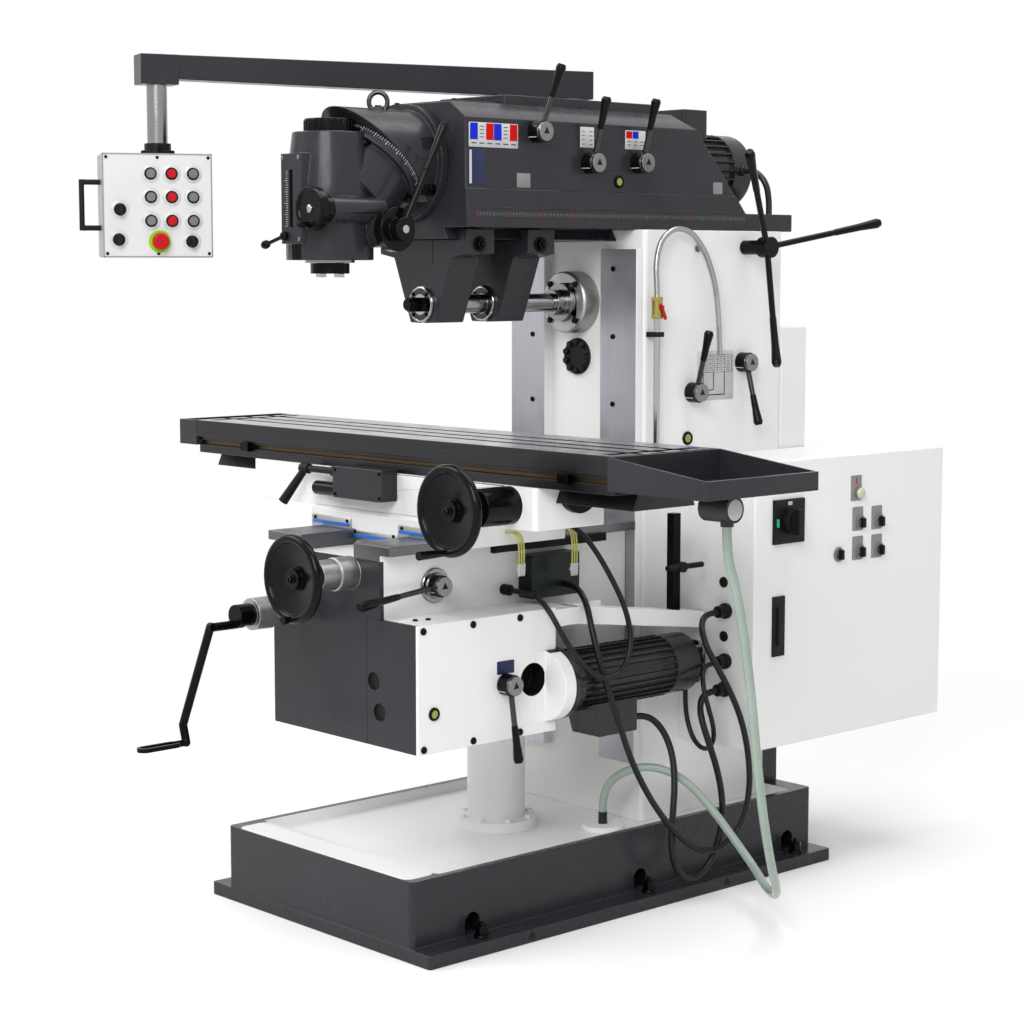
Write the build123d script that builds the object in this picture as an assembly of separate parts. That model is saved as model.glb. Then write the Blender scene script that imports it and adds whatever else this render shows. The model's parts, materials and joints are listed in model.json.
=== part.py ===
from build123d import *
import math
import os

# Universal ram-type milling machine, in millimetres.
# The origin is the middle of the base's underside on the floor. +X runs along the
# table to the operator's right, +Y from the operator to the column, +Z up.

# Fits and clearances
FIT = 0.05            # radial clearance of a shaft in its bore
FACE_GAP = 0.3        # gap between faces that turn or slide on each other
WAY_GAP = 0.4         # clearance of a dovetail or guide

# Base casting
BASE_W = 690.0
BASE_L = 1344.0
BASE_H = 181.0
FOOT_W = 816.0
FOOT_L = 1352.0
FOOT_T = 31.0
PAN_DEPTH = 28.0
PAN_SIDE = 20.0
PAN_FRONT = 88.0
PAN_REAR = 58.0
BOLT_X = 376.0
BOLT_PITCH = 537.0
BOLT_MID_Y = 40.0
BOLT_R = 11.0
NICHE_W = 42.0
NICHE_H = 50.0
NICHE_D = 36.0
PUMP_X = 212.0
PUMP_Y = 45.0
PUMP_R = 52.0
PUMP_H = 14.0
HOSE_BARB_R = 11.0
HOSE_BARB_H = 30.0

# Column casting
COL_HALF_W = 228.0
COL_FRONT = 163.0
COL_REAR = 668.0
COL_TOP = 1606.0
COL_WALL = 38.0
GUIDE_PROUD = 22.0
GUIDE_IN = 99.0
GUIDE_OUT = 222.0
GUIDE_LOW = 300.0
GUIDE_HIGH = 1560.0
WINDOW_HALF_W = 160.0
WINDOW_LOW = 450.0
WINDOW_HIGH = 1330.0
REAR_COVER_HALF_W = 224.0
REAR_COVER_DEPTH = 107.0
REAR_COVER_LOW = 425.0
REAR_COVER_HIGH = 1362.0
REAR_COVER_T = 8.0
PLUG_Z = 1296.0
PLUG_R = 45.0

# Horizontal spindle and arbor
SPINDLE_Z = 1430.0
SPINDLE_R = 46.0
SPINDLE_END = 560.0
CAP_R = 76.0
CAP_FRONT = 110.0
CAP_SCREW_CIRCLE_R = 62.0
NOSE_FRONT = 95.0
COLLAR_R = 32.0
COLLAR_FRONT = 66.0
ARBOR_R = 22.5
ARBOR_FRONT = -350.0
NUT_R = 19.0
NUT_FRONT = -392.0

# Ram and its dovetail on the column
RAM_FRONT = -377.0
RAM_REAR = 740.0
RAM_BOTTOM = 1606.5
RAIL_TOP = 1650.0
RAIL_HALF_W = 196.0
LEDGE_H = 44.0
RAM_HALF_W = 190.0
RAM_H = 283.5
SHOULDER_DROP = 38.0
RAM_TOP_HALF_W = 136.0
RAM_BACK_TOP = 345.0
RAM_BACK_SHOULDER = 385.0
RAM_BACK_LOW = 565.0
DOVE_FLOOR = 1580.0
DOVE_WIDE = 130.0
DOVE_NARROW = 114.0
RAM_AXIS_Z = 1754.0
COVER_HALF_W = 118.0
COVER_T = 24.0
COVER_FRONT = -192.0
COVER_REAR = 320.0
RAM_MOTOR_R = 94.0
RAM_MOTOR_FRONT = 420.0
RAM_MOTOR_REAR = 705.0
RAM_LEVERS = ((-162.0, 64.0), (9.0, 130.0), (174.0, 125.0))   # place along Y, drop below the top

# Shift levers
SHAFT_R = 10.0
SHAFT_SEAT = 28.0
LEVER_HUB_R = 25.0
LEVER_HUB_L = 30.0
LEVER_DISC_R = 22.0
LEVER_DISC_T = 9.0
LEVER_ROD_R = 6.5
GRIP_SHARE = 0.48
LEVER_GRIP = ((0.0, 7.5), (0.5, 9.0), (0.9, 12.0), (1.0, 8.5))   # share of the length, radius

# Column levers and the ram's capstan
COL_LEVERS = ((330.0, 1209.0), (514.0, 1278.0))
CAPSTAN_Y = 521.0
CAPSTAN_Z = 1565.0
CAPSTAN_OUT = 58.0
CAPSTAN_HUB_R = 26.0
CAPSTAN_HUB_L = 34.0
CAPSTAN_REACH = 303.0
CAPSTAN_LEAN = 118.0
CAPSTAN_FIRST = 12.0
CAPSTAN_SPOKES = 3
CAPSTAN_ROD_R = 7.5
CAPSTAN_GRIP = ((0.0, 8.5), (0.55, 9.5), (0.92, 12.5), (1.0, 9.0))

# Arbor supports
SUPPORT_DEPTH = 86.0
SUPPORT_FRONTS = (-343.0, -152.0)
SUPPORT_TOP = 1604.0
SUPPORT_HALF_W = 155.0
SUPPORT_EAR_Z = 1547.0
SUPPORT_WAIST = 104.0
SUPPORT_WAIST_Z = 1538.0
SUPPORT_FOOT = 45.0
SUPPORT_FOOT_Z = 1388.0
BUSH_R = 42.0
BUSH_PROUD = 9.0

# Swivelling vertical head
HEAD_Y = -615.0
MITRE = 1268.0        # the mitre joint lies where Y + Z has this value
KNUCKLE_FLANGE_R = 134.0
KNUCKLE_FLANGE_T = 20.0
KNUCKLE_NECK_R = 120.0
MITRE_R = 122.0
MITRE_T = 26.0
HEAD_R = 98.0
HEAD_LOW = 1532.0
HEAD_TAPER_Z = 1690.0
HEAD_TOP = 1815.0
HEAD_TOP_R = 82.0
HEAD_CAP_R = 55.0
HEAD_CAP_T = 30.0
QUILL_R = 56.0
QUILL_LOW = 1526.0
QUILL_TOP = 1690.0
QUILL_TRAVEL = 80.0
VSPINDLE_R = 30.0
VSPINDLE_NOSE_R = 44.0
VSPINDLE_LOW = 1502.0
SCALE_PAD_HALF_W = 37.0
SCALE_PAD_FRONT = -722.0
SCALE_PAD_Z = (1568.0, 1766.0)
FINE_X = 93.0
FINE_Z = 1643.0
FINE_R = 48.0
FINE_BACK = -692.0
FINE_FRONT = -741.0
QUILL_SHAFT_Y = -545.0
QUILL_SHAFT_Z = 1600.0
QUILL_BOSS_X = 130.0
QUILL_DISC_R = 49.0
QUILL_DISC_T = 26.0
QUILL_LEVER_TIP = (182.0, -428.0, 1836.0)
QUILL_GRIP = ((0.0, 8.5), (0.5, 9.6), (0.9, 12.6), (1.0, 9.0))
EYE_Y = -473.0
EYE_R = 17.0
EYE_WIRE_R = 5.0
EYE_FOOT_R = 11.0
EYE_SEAT = 2.0

# Control pendant and its arm
ARM_PIVOT_Y = 129.0
ARM_BOSS_R = 45.0
ARM_BOSS_T = 10.0
ARM_PIN_R = 20.0
ARM_TAPER = 13.7
ARM_H = 67.0
ARM_W = 52.0
POST_X = -311.0
POST_Y = -862.0
POST_R = 23.0
POST_PIN_R = 12.0
POST_PIN_L = 22.0
PENDANT_TURN = 63.6   # degrees from -Y towards +X that the panel faces
PENDANT_T = (-131.0, 115.0)
PENDANT_Z = (1538.0, 1770.0)
PENDANT_HALF_D = 50.0
PENDANT_COLLAR_R = 38.0
PENDANT_COLLAR_T = 8.0
BUTTON_R = 10.0
BUTTON_COLS = (-23.5, 23.5, 71.5)
BUTTON_ROWS = (1725.0, 1673.0, 1620.0)
BUTTON_HOLE = 24.0
BUTTON_PROUD = 9.0
BEZEL_R = 14.0
BEZEL_T = 4.0
STOP_AT = (-5.0, 1574.0)
STOP_R = 19.0
SELECTORS = ((-92.5, 1645.0), (-96.0, 1578.0), (67.5, 1574.0))

# Knee
KNEE_HALF_W = 190.0
KNEE_FRONT = -620.0
KNEE_LOW = 452.0
KNEE_TOP = 868.0
WAY_TOP = 904.0
WAY_LOW = 882.0
WAY_IN = 96.0
WAY_OUT = 224.0
KNEE_POCKET_HALF_W = 158.0
COVER_PLATE_T = 11.0
COVER_LEFT = -206.0
COVER_SEAM = 141.0
COVER_HOLES = ((165.0, 598.0), (185.0, 530.0))
COVER_HOLE_R = 20.0
GEARBOX_RIGHT = 319.0
GEARBOX_TOP = 739.0
GEARBOX_REAR = -216.0
GEARBOX_LID_T = 8.0
SIGHT_HOLE = (-288.0, 580.0)
SIGHT_HOLE_R = 38.0
SIGHT_HOLE_D = 46.0
LID_SCREW_YS = (-616.0, -471.0, -329.0)
ADAPTER_L = 64.0
MOTOR_X = 305.0
MOTOR_Z = 560.0
MOTOR_FLANGE_R = 84.0
MOTOR_FLANGE_T = 16.0
MOTOR_R = 66.0
FIN_R = 74.0
FIN_COUNT = 26
FIN_T = 4.0
MOTOR_BODY_REAR = 136.0
FAN_REAR = 214.0
BRAKE_REAR = 250.0
BRAKE_CORE_R = 36.0
BRAKE_PLATE_W = 104.0
BRAKE_PLATE_T = 8.0
MOTOR_BELL_T = 26.0
GEAR_LEVER = (-375.0, 580.0)
FEED_LEVER = (-474.0, 802.0)
GUARD_LEFT = 262.0
GUARD_FRONT = -149.0
GUARD_REAR = 286.0
GUARD_Z = (733.0, 677.0)
GUARD_T = 5.0
GUARD_SKIRT = 40.0
STOP_POST_X = 300.0
STOP_POST_Y = 196.0
STOP_POST_W = 24.0
STOP_POST_TOP = 925.0
CLAMP_Z = 796.0
SWITCH_Y = (-215.0, -60.0)
SWITCH_Z = (748.0, 850.0)
SWITCH_DEPTH = 46.0
TRIP_Y = (-334.0, 30.0)

# Lifting screw and its tube
SCREW_Y = -114.0
TUBE_R = 71.0
TUBE_BORE_R = 50.0
TUBE_TOP = 470.0
TUBE_FLANGE_R = 101.0
TUBE_FLANGE_T = 25.0
SCREW_R = 24.0
SCREW_LOW = 205.0
LIFT_POCKET_TOP = 800.0
PIT_R = 32.0

# Saddle, swivel base and table
TABLE_MID_Y = -304.0
SADDLE_HALF_W = 268.0
SADDLE_FRONT = -470.0
SADDLE_REAR = -138.0
SADDLE_TOP = 950.0
SADDLE_LEG_LOW = 868.5
PIVOT_R = 60.0
PIVOT_DEPTH = 22.0
SWIVEL_HALF_L = 512.0
SWIVEL_FRONT = -462.0
SWIVEL_REAR = -186.0
LOCK_Z = 1038.0
TABLE_LOW = 1045.0
TABLE_TOP = 1128.0
TABLE_X = (-756.0, 744.0)
TABLE_W = 320.0
SLIDE_FLOOR = 1008.0
SLIDE_WIDE = 95.0
SLIDE_NARROW = 80.0
SLOT_PITCH = 70.0
SLOT_COUNT = 3
SLOT_NECK = 18.0
SLOT_WIDE = 32.0
SLOT_NECK_D = 20.0
SLOT_WIDE_D = 16.0
CHANNEL_W = 26.0
CHANNEL_D = 10.0
CHANNEL_INSET = 26.0
BAND_LOW = 1086.0
DOG_XS = (-545.0, 600.0)
DOG_DROP = (26.0, 4.0)
TRIP_BOX_RISE = 29.6
TRIP_BOX_LAP = 9.0
RAIL_INSET = 10.0
TRAY_L = 277.0
TRAY_HALF_W = 171.0
TRAY_LOW = 1056.0
TRAY_LIP = 1095.0
TRAY_T = 6.0
END_CAP_L = 74.0
END_CAP_LOW = 1064.0
SPOUT_X = (865.0, 943.0)
SPOUT_R = 28.0
SPOUT_Z = 1021.0
SPOUT_STEM_X = 922.0
SPOUT_STEM_R = 14.0
SCREW_END_R = 33.0
SCREW_END_T = 36.0

# Handwheels and the lifting crank
WHEEL_R = 100.0
WHEEL_RIM_R = 11.0
TABLE_GRIP_L = 86.0
SADDLE_GRIP_L = 30.0
SADDLE_WHEEL = (85.0, 835.0)
SADDLE_WHEEL_Y = -792.0
SADDLE_DIAL_R = 38.0
SADDLE_DIAL_L = 100.0
TABLE_WHEEL = (430.0, 1002.0)
TABLE_WHEEL_Y = -636.0
TABLE_HUB_R = 42.0
TABLE_HUB_L = 98.0
CRANK = (-130.0, 728.0)
CRANK_DIAL_R = 37.0
CRANK_SLEEVE_FRONT = -700.0
CRANK_DIAL_FRONT = -752.0
CRANK_HUB_FRONT = -796.0
CRANK_ARM_Y = -855.0
CRANK_END = (-246.0, 426.0)
CRANK_GRIP_L = 124.0
CRANK_BAR_R = 10.0
CRANK_DROP = 19.0
CRANK_BEND = 12.0
CRANK_HEEL = 40.0

# Electrical cabinet
CAB_DEPTH = 222.0
CAB_Y = (296.0, 1034.0)
CAB_Z = (347.0, 1051.0)
CAB_T = 8.0
DOOR_T = 22.0
DOOR_SKIN = 4.0
DOOR_RIM = 14.0
HINGE_OUT = 6.0
HINGE_R = 6.0
HINGE_L = 60.0
PANEL_GAP = 16.0
PANEL_T = 5.0
SWITCH_AT = (415.0, 903.0)
LATCH_Y = (361.0, 405.0)
LATCH_Z = (574.0, 721.0)
DOOR_KNOBS = ((694.0, 878.0), (770.0, 876.0), (610.0, 804.0), (695.0, 804.0), (771.0, 803.0))
DOOR_LAMP = (684.0, 953.0)
GLAND_OUT = 156.0
GLAND_ZS = (685.0, 561.0, 492.0)
GLAND_R = 15.0
GLAND_L = 34.0

# Coolant line
PIPE_OUT = 24.0
PIPE_Y = 182.0
PIPE_R = 8.0
PIPE_LOW = 1004.0
VALVE_Z = (1396.0, 1445.0)
VALVE_R = 13.0
CLIP_Z = 1355.0
GOOSENECK_R = 7.0

# Cords and the drain hose, laid by hand from end to end
SWITCH_CABLE_D = 15.0
SWITCH_CABLE = (
    (236, -112, 776), (278, -112, 776), (322, -122, 744), (356, -138, 690),
    (381, -138, 618), (396, -122, 545), (408, -98, 465), (418, -66, 370),
    (426, -10, 272), (432, 66, 182), (442, 150, 118), (458, 226, 128),
    (476, 264, 188), (486, 274, 268), (488, 264, 355), (482, 244, 440),
    (470, 214, 512), (452, 186, 572), (428, 172, 622), (402, 184, 664),
    (384, 220, 685), (384, 262, 685),
)
MOTOR_CABLE_D = 16.0
MOTOR_CABLE = (
    (330, 20, 452), (330, 58, 452), (342, 92, 436), (364, 110, 396),
    (386, 110, 344), (402, 98, 286), (412, 82, 224), (416, 72, 162),
    (418, 78, 104), (421, 108, 62), (425, 152, 54), (431, 192, 82),
    (437, 216, 132), (443, 224, 192), (446, 217, 256), (444, 200, 320),
    (436, 182, 378), (422, 172, 428), (404, 180, 466), (384, 217, 492),
    (384, 262, 492),
)
BRAKE_CABLE_D = 12.0
BRAKE_CABLE = (
    (305, 236, 492), (305, 236, 450), (313, 236, 408), (332, 235, 370),
    (362, 232, 350), (398, 224, 356), (422, 214, 386), (432, 198, 426),
    (430, 182, 470), (416, 180, 514), (398, 196, 546), (384, 226, 561),
    (384, 262, 561),
)
TABLE_CABLE_D = 13.0
TABLE_CABLE = (
    (268, -168, 930), (308, -168, 930), (342, -152, 906), (364, -128, 862),
    (380, -98, 804), (396, -70, 738), (408, -58, 668), (416, -78, 608),
    (416, -122, 574), (410, -174, 582), (396, -216, 624), (372, -246, 682),
    (348, -258, 732), (304, -262, 770), (259, -262, 772), (214, -262, 772),
)
DRAIN_HOSE_D = 20.0
DRAIN_HOSE = (
    (922, -304, 985), (922, -304, 925), (933, -288, 860), (936, -268, 775),
    (934, -246, 680), (929, -224, 580), (920, -200, 480), (906, -168, 380),
    (884, -124, 286), (848, -62, 198), (796, 16, 128), (724, 94, 84),
    (640, 160, 72), (566, 200, 100), (500, 205, 152), (440, 188, 222),
    (390, 160, 280), (344, 126, 312), (296, 92, 316), (252, 62, 296),
    (212, 45, 252), (212, 45, 197),
)
RAM_CONDUIT_D = 16.0
RAM_CONDUIT = (
    (110, 655, 1763), (132, 655, 1763), (153, 656, 1754), (169, 659, 1738),
    (177, 664, 1717), (178, 670, 1683), (178, 670, 1650),
)

# Values worked out from the driving ones
PAN_Z = BASE_H - PAN_DEPTH
GUIDE_FACE = COL_FRONT - GUIDE_PROUD
MITRE_Y = MITRE - RAM_AXIS_Z
TABLE_FRONT = TABLE_MID_Y - TABLE_W / 2
TABLE_REAR = TABLE_MID_Y + TABLE_W / 2
PLATE_FRONT = KNEE_FRONT - COVER_PLATE_T
RAM_TOP = RAM_BOTTOM + RAM_H
SHOULDER_Z = RAM_TOP - SHOULDER_DROP
RAM_LEVER_SPOTS = [(y, RAM_TOP - drop) for y, drop in RAM_LEVERS]
COVER_TOP = RAM_TOP + COVER_T
ARM_BOSS_TOP = COVER_TOP + ARM_BOSS_T
ARM_LOW = ARM_BOSS_TOP + FACE_GAP
ARM_TOP = ARM_LOW + ARM_H
CAPSTAN_X = COL_HALF_W + CAPSTAN_OUT
PIPE_X = COL_HALF_W + PIPE_OUT
CAB_X = (COL_HALF_W, COL_HALF_W + CAB_DEPTH)
PANEL_X = CAB_X[0] + PANEL_GAP
GLAND_X = CAB_X[0] + GLAND_OUT
DOOR_IN = CAB_X[1] + FACE_GAP
DOOR_OUT = CAB_X[1] + DOOR_T
SWIVEL_LOW = SADDLE_TOP + WAY_GAP
DOG_Z = (BAND_LOW - DOG_DROP[0], BAND_LOW - DOG_DROP[1])


def block(x, y, z):
    """Box between the low and high values of each axis."""
    size = Box(x[1] - x[0], y[1] - y[0], z[1] - z[0])
    return Pos((x[0] + x[1]) / 2, (y[0] + y[1]) / 2, (z[0] + z[1]) / 2) * size


def rod(start, end, radius, end_radius=None):
    """Cylinder between two points, or a cone where the end radius differs."""
    axis = Vector(*end) - Vector(*start)
    seat = Plane(origin=start, z_dir=axis)
    low = (Align.CENTER, Align.CENTER, Align.MIN)
    if end_radius is None:
        return seat * Cylinder(radius, axis.length, align=low)
    return seat * Cone(radius, end_radius, axis.length, align=low)


def rod_x(x, y, z, radius):
    """Cylinder along X between the two values of x."""
    return rod((x[0], y, z), (x[1], y, z), radius)


def rod_y(x, y, z, radius):
    """Cylinder along Y between the two values of y."""
    return rod((x, y[0], z), (x, y[1], z), radius)


def rod_z(x, y, z, radius):
    """Cylinder along Z between the two values of z."""
    return rod((x, y, z[0]), (x, y, z[1]), radius)


def along_x(points, x):
    """Prism along X of an outline in Y and Z."""
    seat = Plane(origin=(x[0], 0, 0), x_dir=(0, 1, 0), z_dir=(1, 0, 0))
    return extrude(seat * make_face(Polyline(*points, close=True)), x[1] - x[0])


def along_y(points, y):
    """Prism along Y of an outline in X and Z."""
    seat = Plane(origin=(0, y[1], 0), x_dir=(1, 0, 0), z_dir=(0, -1, 0))
    return extrude(seat * make_face(Polyline(*points, close=True)), y[1] - y[0])


def along_z(points, z):
    """Prism along Z of an outline in X and Y."""
    seat = Plane(origin=(0, 0, z[0]))
    return extrude(seat * make_face(Polyline(*points, close=True)), z[1] - z[0])


def between(start, end, share):
    """Point at a share of the way from start to end."""
    return tuple(a + (b - a) * share for a, b in zip(start, end))


def round_uprights(shape, radius):
    """Rounds the edges of a block that run along Z."""
    return fillet(shape.edges().filter_by(Axis.Z), radius)


def dovetail(wide, narrow, low, high, spread):
    """Outline of a dovetail about the middle plane, grown sideways by spread."""
    return (
        (-wide - spread, low),
        (wide + spread, low),
        (narrow + spread, high),
        (-narrow - spread, high),
    )


def turned_grip(start, end, profile):
    """Turned handle between two points, from shares of its length and the radius at each."""
    shape = rod(start, between(start, end, profile[1][0]), profile[0][1], profile[1][1])
    for (low, low_r), (high, high_r) in zip(profile[1:], profile[2:]):
        shape += rod(between(start, end, low), between(start, end, high), low_r, high_r)
    return shape


def shift_lever(x, y, z, tip):
    """Lever whose shaft enters the face at x, with its hub, end disc, rod and grip."""
    out = x + LEVER_HUB_L
    root = (x + LEVER_HUB_L * 0.6, y, z)
    shape = rod_x((x - SHAFT_SEAT + 1, out), y, z, SHAFT_R - FIT)
    shape += rod_x((x + FACE_GAP, out), y, z, LEVER_HUB_R)
    shape += rod_x((out, out + LEVER_DISC_T), y, z, LEVER_DISC_R)
    shape += rod(root, tip, LEVER_ROD_R)
    return shape + turned_grip(between(root, tip, 1 - GRIP_SHARE), tip, LEVER_GRIP)


def lever_seat(x, y, z):
    """Bore that takes a shift lever's shaft."""
    return rod_x((x - SHAFT_SEAT, x + 1), y, z, SHAFT_R)


def handwheel(x, y, z, hub_back, grip_l):
    """Dished wheel facing -Y, with the centre of its rim at y, and its turning grip."""
    hub = rod_y(x, (y - 4, hub_back), z, 24)
    dish = ((22, 0), (22, 16), (WHEEL_R - 2 * WHEEL_RIM_R + 4, -2), (WHEEL_R - 2 * WHEEL_RIM_R + 4, -12))
    rim_r = WHEEL_R - WHEEL_RIM_R
    seat = Plane(origin=(x, y + 8, z), x_dir=(1, 0, 0), z_dir=(0, 0, 1))
    web = revolve(seat * make_face(Polyline(*dish, close=True)), Axis((x, y, z), (0, 1, 0)))
    ring = seat * Pos(rim_r, -8) * Circle(WHEEL_RIM_R)
    rim = revolve(ring, Axis((x, y, z), (0, 1, 0)))
    grip_z = z - rim_r
    grip = rod((x, y - WHEEL_RIM_R + 2, grip_z), (x, y - grip_l, grip_z), 7, 10)
    return hub + web + rim + grip


def cord(name, points, diameter):
    """Tube along a hand-laid route, each bend as wide as its two runs allow."""
    spots = [Vector(*p) for p in points]
    radii = []
    for a, b, c in zip(spots, spots[1:], spots[2:]):
        turn = math.radians((b - a).get_angle(c - b))
        shorter = min((b - a).length, (c - b).length)
        radii.append(0.45 * shorter / math.tan(turn / 2))
    path = FilletPolyline(*points, radius=radii)
    tube = sweep(Plane(origin=path @ 0, z_dir=path % 0) * Circle(diameter / 2), path)
    section = math.pi * diameter**2 / 4
    print(name, "length", round(path.length), "volume share", round(tube.volume / (section * path.length), 3))
    print("  radii", [round(r) for r in radii])
    return tube


def base_casting():
    """Base with its coolant pan, feet, bolt niches and the pump's cover."""
    walls = round_uprights(block((-BASE_W / 2, BASE_W / 2), (-BASE_L / 2, BASE_L / 2), (0, BASE_H)), 14)
    foot = block((-FOOT_W / 2, FOOT_W / 2), (-FOOT_L / 2, FOOT_L / 2), (0, FOOT_T))
    shape = walls + round_uprights(foot, 8)
    pan_x = BASE_W / 2 - PAN_SIDE
    pan_y = (-BASE_L / 2 + PAN_FRONT, BASE_L / 2 - PAN_REAR)
    shape -= round_uprights(block((-pan_x, pan_x), pan_y, (PAN_Z, BASE_H + 1)), 16)
    shape -= rod_z(0, SCREW_Y, (0, BASE_H), PIT_R)
    for side in (-1, 1):
        for step in (-1, 0, 1):
            y = BOLT_MID_Y + step * BOLT_PITCH
            shape -= rod_z(side * BOLT_X, y, (-1, FOOT_T + 1), BOLT_R)
            inner = side * (BASE_W / 2 - NICHE_D)
            across = sorted((inner, side * (BASE_W / 2 + 1)))
            arch_z = FOOT_T + NICHE_H - NICHE_W / 2
            shape -= block(across, (y - NICHE_W / 2, y + NICHE_W / 2), (FOOT_T, arch_z))
            shape -= rod_x(across, y, arch_z, NICHE_W / 2)
    pump = rod_z(PUMP_X, PUMP_Y, (PAN_Z, PAN_Z + PUMP_H), PUMP_R)
    pump += rod_z(PUMP_X, PUMP_Y, (PAN_Z, PAN_Z + PUMP_H + HOSE_BARB_H), HOSE_BARB_R)
    return Compound([shape, pump])


def column_casting():
    """Hollow column with its knee guides, ram way, bores and the sheet cover behind it."""
    shape = block((-COL_HALF_W, COL_HALF_W), (COL_FRONT, COL_REAR), (PAN_Z, COL_TOP))
    shape = round_uprights(shape, 12)
    rim_y = (BASE_L / 2 - PAN_REAR, BASE_L / 2 + COL_REAR - COL_FRONT)
    shape -= block((-COL_HALF_W, COL_HALF_W), rim_y, (PAN_Z - 1, BASE_H))
    for side in (-1, 1):
        across = sorted((side * GUIDE_IN, side * GUIDE_OUT))
        shape += block(across, (GUIDE_FACE, COL_FRONT), (GUIDE_LOW, GUIDE_HIGH))
    inside = COL_HALF_W - COL_WALL
    shape -= block(
        (-inside, inside),
        (COL_FRONT + COL_WALL, COL_REAR - COL_WALL),
        (PAN_Z + COL_WALL, DOVE_FLOOR - COL_WALL),
    )
    window_y = (COL_REAR - COL_WALL - 1, COL_REAR + 1)
    shape -= block((-WINDOW_HALF_W, WINDOW_HALF_W), window_y, (WINDOW_LOW, WINDOW_HIGH))
    groove = dovetail(DOVE_WIDE, DOVE_NARROW, DOVE_FLOOR, COL_TOP + 1, 0)
    shape -= along_y(groove, (COL_FRONT - 1, COL_REAR + 1))
    shape -= rod_y(0, (COL_FRONT - 1, COL_FRONT + COL_WALL + 1), SPINDLE_Z, SPINDLE_R + 12)
    shape += rod_y(0, (COL_FRONT - 7, COL_FRONT), PLUG_Z, PLUG_R)
    for y, z in COL_LEVERS:
        shape -= lever_seat(COL_HALF_W, y, z)
    shape -= lever_seat(COL_HALF_W, CAPSTAN_Y, CAPSTAN_Z)
    depth = (COL_REAR, COL_REAR + REAR_COVER_DEPTH)
    cover = block((-REAR_COVER_HALF_W, REAR_COVER_HALF_W), depth, (REAR_COVER_LOW, REAR_COVER_HIGH))
    cover = round_uprights(cover, 10)
    half = REAR_COVER_HALF_W - REAR_COVER_T
    cover -= block(
        (-half, half),
        (COL_REAR - 1, COL_REAR + REAR_COVER_DEPTH - REAR_COVER_T),
        (REAR_COVER_LOW + REAR_COVER_T, REAR_COVER_HIGH - REAR_COVER_T),
    )
    return Compound([shape, cover])


def spindle_cap():
    """Front bearing cap of the horizontal spindle, with its four screw heads."""
    shape = rod_y(0, (CAP_FRONT, COL_FRONT), SPINDLE_Z, CAP_R)
    shape = chamfer(shape.faces().sort_by(Axis.Y)[0].edges(), 5)
    shape -= rod_y(0, (CAP_FRONT - 1, COL_FRONT + 1), SPINDLE_Z, SPINDLE_R + FIT)
    for k in range(4):
        angle = math.radians(45 + 90 * k)
        x = CAP_SCREW_CIRCLE_R * math.cos(angle)
        z = SPINDLE_Z + CAP_SCREW_CIRCLE_R * math.sin(angle)
        shape += rod_y(x, (CAP_FRONT - 7, CAP_FRONT + 1), z, 7.5)
    return shape


def arbor():
    """Horizontal spindle with the long arbor and its end nut."""
    shape = rod_y(0, (NOSE_FRONT, SPINDLE_END), SPINDLE_Z, SPINDLE_R)
    shape += rod_y(0, (COLLAR_FRONT, NOSE_FRONT), SPINDLE_Z, COLLAR_R)
    shape += rod_y(0, (ARBOR_FRONT, COLLAR_FRONT), SPINDLE_Z, ARBOR_R)
    hexagon = Plane(origin=(0, ARBOR_FRONT, SPINDLE_Z), x_dir=(1, 0, 0), z_dir=(0, -1, 0))
    shape += extrude(hexagon * RegularPolygon(NUT_R, 6), ARBOR_FRONT - NUT_FRONT - 8)
    shape += rod_y(0, (NUT_FRONT, ARBOR_FRONT), SPINDLE_Z, NUT_R * 0.72)
    return shape


def ram_body():
    """Ram casting with its dovetail, sloping back, gear chest and front ring."""
    side = (
        (RAM_FRONT, RAM_BOTTOM),
        (RAM_BACK_LOW, RAM_BOTTOM),
        (RAM_BACK_LOW, RAIL_TOP),
        (RAM_BACK_SHOULDER, SHOULDER_Z),
        (RAM_BACK_TOP, RAM_TOP),
        (RAM_FRONT, RAM_TOP),
    )
    shape = along_x(side, (-RAM_HALF_W, RAM_HALF_W))
    shape += block((-RAIL_HALF_W, RAIL_HALF_W), (RAM_FRONT, RAM_REAR), (RAM_BOTTOM, RAIL_TOP))
    for s in (-1, 1):
        bevel = (
            (s * (RAM_HALF_W + 1), SHOULDER_Z),
            (s * (RAM_HALF_W + 1), RAM_TOP + 1),
            (s * RAM_TOP_HALF_W, RAM_TOP + 1),
            (s * RAM_HALF_W, SHOULDER_Z),
        )
        shape -= along_y(bevel, (RAM_FRONT - 1, RAM_BACK_LOW))
    ledge = along_x(side, (-RAIL_HALF_W + 2, RAIL_HALF_W - 2))
    shape += ledge & block(
        (-RAIL_HALF_W, RAIL_HALF_W), (RAM_FRONT, RAM_BACK_LOW), (RAIL_TOP, RAIL_TOP + LEDGE_H)
    )
    male = dovetail(DOVE_WIDE, DOVE_NARROW, DOVE_FLOOR + WAY_GAP, RAM_BOTTOM, -WAY_GAP)
    shape += along_y(male, (RAM_FRONT, RAM_REAR))
    chest = (RAM_FRONT + 48, RAM_BACK_TOP - 40)
    shape -= block((-RAM_HALF_W + 32, RAM_HALF_W - 32), chest, (RAIL_TOP, SHOULDER_Z - 14))
    shape -= block((-COVER_HALF_W + 18, COVER_HALF_W - 18), chest, (SHOULDER_Z - 20, RAM_TOP + 1))
    shape -= rod_y(0, (RAM_MOTOR_FRONT, RAM_REAR + 1), RAM_AXIS_Z + 9, RAM_MOTOR_R + 3)
    for y, z in RAM_LEVER_SPOTS:
        shape -= lever_seat(RAM_HALF_W, y, z)
    return shape


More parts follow.
